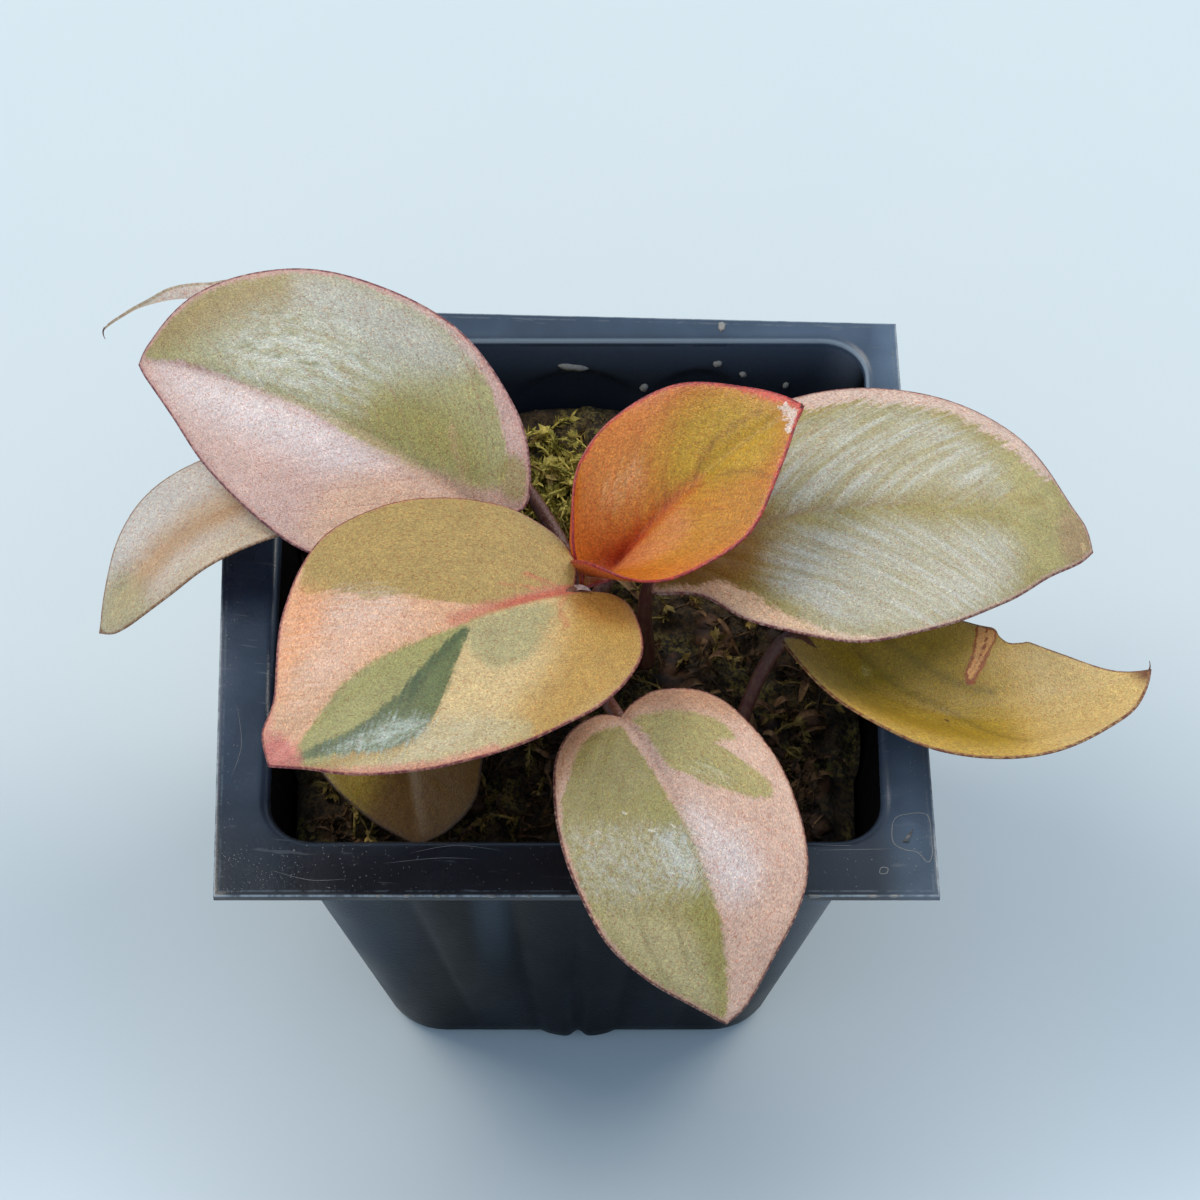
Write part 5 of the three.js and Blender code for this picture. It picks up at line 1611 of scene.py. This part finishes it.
def litter_piece():
    random = np.random.default_rng(53)
    shape = Shape()
    for number in range(litter["chips"] + litter["scraps"]):
        x, y = np.clip(random.normal(litter["place"], litter["spread"]), -litter["limit"], litter["limit"])
        if np.hypot(x - stem["x"], y - stem["y"]) < litter["stem_room"]:
            continue
        ground = moss_height(x, y)
        if number < litter["chips"]:
            size = random.uniform(0.8, 2.4)
            place = (x, y, ground + 0.3)
            add_crumb(shape, random, place, (size * 1.7, size, size * 0.5), random.uniform(0, 180))
        else:
            add_scrap(shape, random, np.array([x, y, ground + 0.8]), 1)
    looks = [
        sprig_material("bark", (48, 32, 22), (104, 72, 46)),
        sprig_material("dead_scraps", (108, 76, 48), (168, 132, 90)),
    ]
    place_piece(shape.made("moss_litter", looks), "moss")


def add_scrap(shape, random, place, kind):
    """A thin strip, curled along its length and across it."""
    length, width = random.uniform(2.5, 7), random.uniform(0.4, 1.2)
    heading = random.uniform(0, 2 * np.pi)
    ahead = np.array([np.cos(heading), np.sin(heading), 0.0])
    aside = np.array([-np.sin(heading), np.cos(heading), random.uniform(-0.4, 0.4)])
    bend = random.uniform(0.6, 2.6)
    sway = random.uniform(-1.5, 1.5)
    strip = []
    steps = 10
    for t in np.linspace(0, 1, steps + 1):
        arch = (0, 0, bend * np.sin(t * np.pi) - 0.5)
        middle = place + ahead * length * (t - 0.5) + arch + aside * sway * t * t
        half = width * (1 - (2 * t - 1) ** 4) / 2 + 0.05
        cup = np.array([0, 0, half * 0.6])
        strip += [middle - aside * half + cup, middle - (0, 0, 0.05), middle + aside * half + cup]
    shape.add(strip, strip_faces(steps), kind)


def sprig_material(name, low, high):
    look = Look(name)
    where = look.position()
    share = look.noise(where, 0.5, 3.0)
    fleck = look.noise(where, 2.4, 2.0)
    colour = look.blend(look.ease(share, 0.35, 0.65), seen(*low), seen(*high))
    colour = look.scaled(colour, look.ease(fleck, 0.3, 0.7, 0.75, 1.2))
    return look.finish(colour, 0.75, look.bump(fleck, 0.1), lets_through=0.2)


# The dry, papery end of an old leaf sheath, caught where the middle left leaf meets its stalk.
sheath = {"place": (0.9, -14.8, 95.4), "ahead": (1.0, -0.25, 0.2), "aside": (0.2, 0.9, 0.35), "length": 2.2,
          "width": 0.8, "arch": 0.5}


def sheath_piece():
    shape = Shape()
    ahead, aside = np.array(sheath["ahead"]), np.array(sheath["aside"])
    strip = []
    steps = 8
    for t in np.linspace(0, 1, steps + 1):
        arch = (0, 0, sheath["arch"] * np.sin(t * np.pi))
        middle = sheath["place"] + ahead * sheath["length"] * (t - 0.5) + arch
        half = sheath["width"] / 2 * (1 - t) ** 0.6 + 0.04
        strip += [middle - aside * half + (0, 0, half / 2), middle, middle + aside * half + (0, 0, half / 2)]
    shape.add(strip, strip_faces(steps))
    piece = shape.made("sheath_scrap", [sprig_material("dry_sheath", (150, 120, 118), (218, 200, 200))])
    place_piece(piece, "stem_tissue")


# Stem: short joints ringed by old leaf scars.
stem_rings = 60
stem_sides = 48
stem_roughness = 0.12


def stem_piece():
    heights = np.linspace(stem["foot"], stem["top"], stem_rings)
    part = (heights - stem["foot"]) / (stem["top"] - stem["foot"])
    scars = 0.5 + 0.5 * np.cos(part * stem["joints"] * 2 * np.pi)
    radius = stem["radius"] - stem["scar_depth"] * (1 - scars**2)
    from_top = np.clip((1 - part) / 0.09, 0, 1)
    radius *= np.sqrt(from_top * (2 - from_top))
    angle = np.arange(stem_sides) * 2 * np.pi / stem_sides
    rings = []
    for z, r in zip(heights, radius):
        level = np.full(stem_sides, z)
        rough = r + stem_roughness * waves(angle * 5, level, 71, 5) * min(1, r)
        x, y = stem["x"] + rough * np.cos(angle), stem["y"] + rough * np.sin(angle)
        rings.append(np.column_stack([x, y, level]))
    shape = Shape()
    shape.add(np.vstack(rings), ring_faces(stem_rings, stem_sides) + [tuple(range(stem_sides))[::-1]])
    piece = shape.made("stem_stub", [stem_material()], weld=True)
    place_piece(piece, "stem_tissue", "stem")


def stem_material():
    look = Look("stem")
    where = look.position()
    streak = look.noise(look.stretch(where, (1, 1, 0.3)), 1.2, 4.0, 0.6)
    colour = look.blend(look.ease(streak, 0.35, 0.65), seen(70, 44, 30), seen(134, 92, 62))
    return look.finish(colour, 0.62, look.bump(streak, 0.4))


# The photograph's camera.
look_at = np.array([3.1, -3.0, 75])
camera_distance = 588
camera_elevation = 57
focal_pixels = 4540
photo_width = 1200
sensor_width = 36


def add_camera():
    data = bpy.data.cameras.new("camera")
    data.sensor_width = sensor_width
    data.lens = focal_pixels / photo_width * sensor_width
    data.clip_start = 0.01
    camera = bpy.data.objects.new("camera", data)
    rise = np.radians(camera_elevation)
    offset = camera_distance * np.array([0, -np.cos(rise), np.sin(rise)])
    camera.location = (look_at + offset) * metres
    camera.rotation_euler = Vector(offset).to_track_quat("Z", "Y").to_euler()
    scene.collection.objects.link(camera)
    scene.camera = camera


# Soft light: a pale dome and large soft boxes. Headings run from the photographed side towards +X.
dome_colour = (0.56, 0.76, 1.0, 1)
dome_strength = 0.8
box_colour = (1.08, 1.0, 0.85)
soft_boxes = [
    {"name": "box_left", "heading": -112, "height": 52, "away": 900, "size": (460, 520), "glow": 6.2},
    {"name": "box_right", "heading": 122, "height": 43, "away": 900, "size": (460, 520), "glow": 5.2},
]


def add_box(box):
    heading, height = np.radians(box["heading"]), np.radians(box["height"])
    level = np.cos(height)
    towards = np.array([np.sin(heading) * level, -np.cos(heading) * level, np.sin(height)])
    data = bpy.data.lights.new(box["name"], "AREA")
    data.shape = "RECTANGLE"
    data.size = box["size"][0] * metres
    data.size_y = box["size"][1] * metres
    data.energy = box["glow"] * np.pi * data.size * data.size_y
    data.color = box_colour
    light = bpy.data.objects.new(box["name"], data)
    light.location = (look_at + towards * box["away"]) * metres
    light.rotation_euler = Vector(towards).to_track_quat("Z", "Y").to_euler()
    scene.collection.objects.link(light)


def add_dome():
    world = bpy.data.worlds.new("dome")
    world.use_nodes = True
    background = world.node_tree.nodes["Background"]
    background.inputs["Color"].default_value = dome_colour
    background.inputs["Strength"].default_value = dome_strength
    scene.world = world


# Plain pale floor, with painted light that makes it paler towards the front on either side.
floor_size = 3000
painted_corner_light = (0.9, 0.93, 0.93, 1)


def add_floor():
    shape = Shape()
    corners = [(-1, -1, 0), (1, -1, 0), (1, 1, 0), (-1, 1, 0)]
    shape.add(floor_size * np.array(corners), [(0, 1, 2, 3)])
    look = Look("floor")
    paper = look.noise(look.position(), 0.02, 3.0)
    colour = look.blend(paper, seen(209, 227, 241), seen(213, 230, 243))
    x, y, _ = look.parts(look.position())
    # Painted light: paler away from the middle towards the front, where the soft boxes light it less.
    aside = look.ease(look.math("ABSOLUTE", x), 15, 75)
    colour = look.blend(look.times(aside, look.ease(y, -5, -95)), colour, painted_corner_light)
    floor = shape.made("floor", [look.finish(colour, 0.8, specular=0.2)])


add_camera()
add_dome()
for box in soft_boxes:
    add_box(box)
add_floor()
pot_piece()
moss_bed_piece()
sprig_piece()
litter_piece()
marks_piece()
sheath_piece()
stem_piece()
for number, leaf in enumerate(leaves, 1):
    leaf_piece(leaf, number)
scene.view_settings.view_transform = "Standard"

bpy.context.view_layer.update()
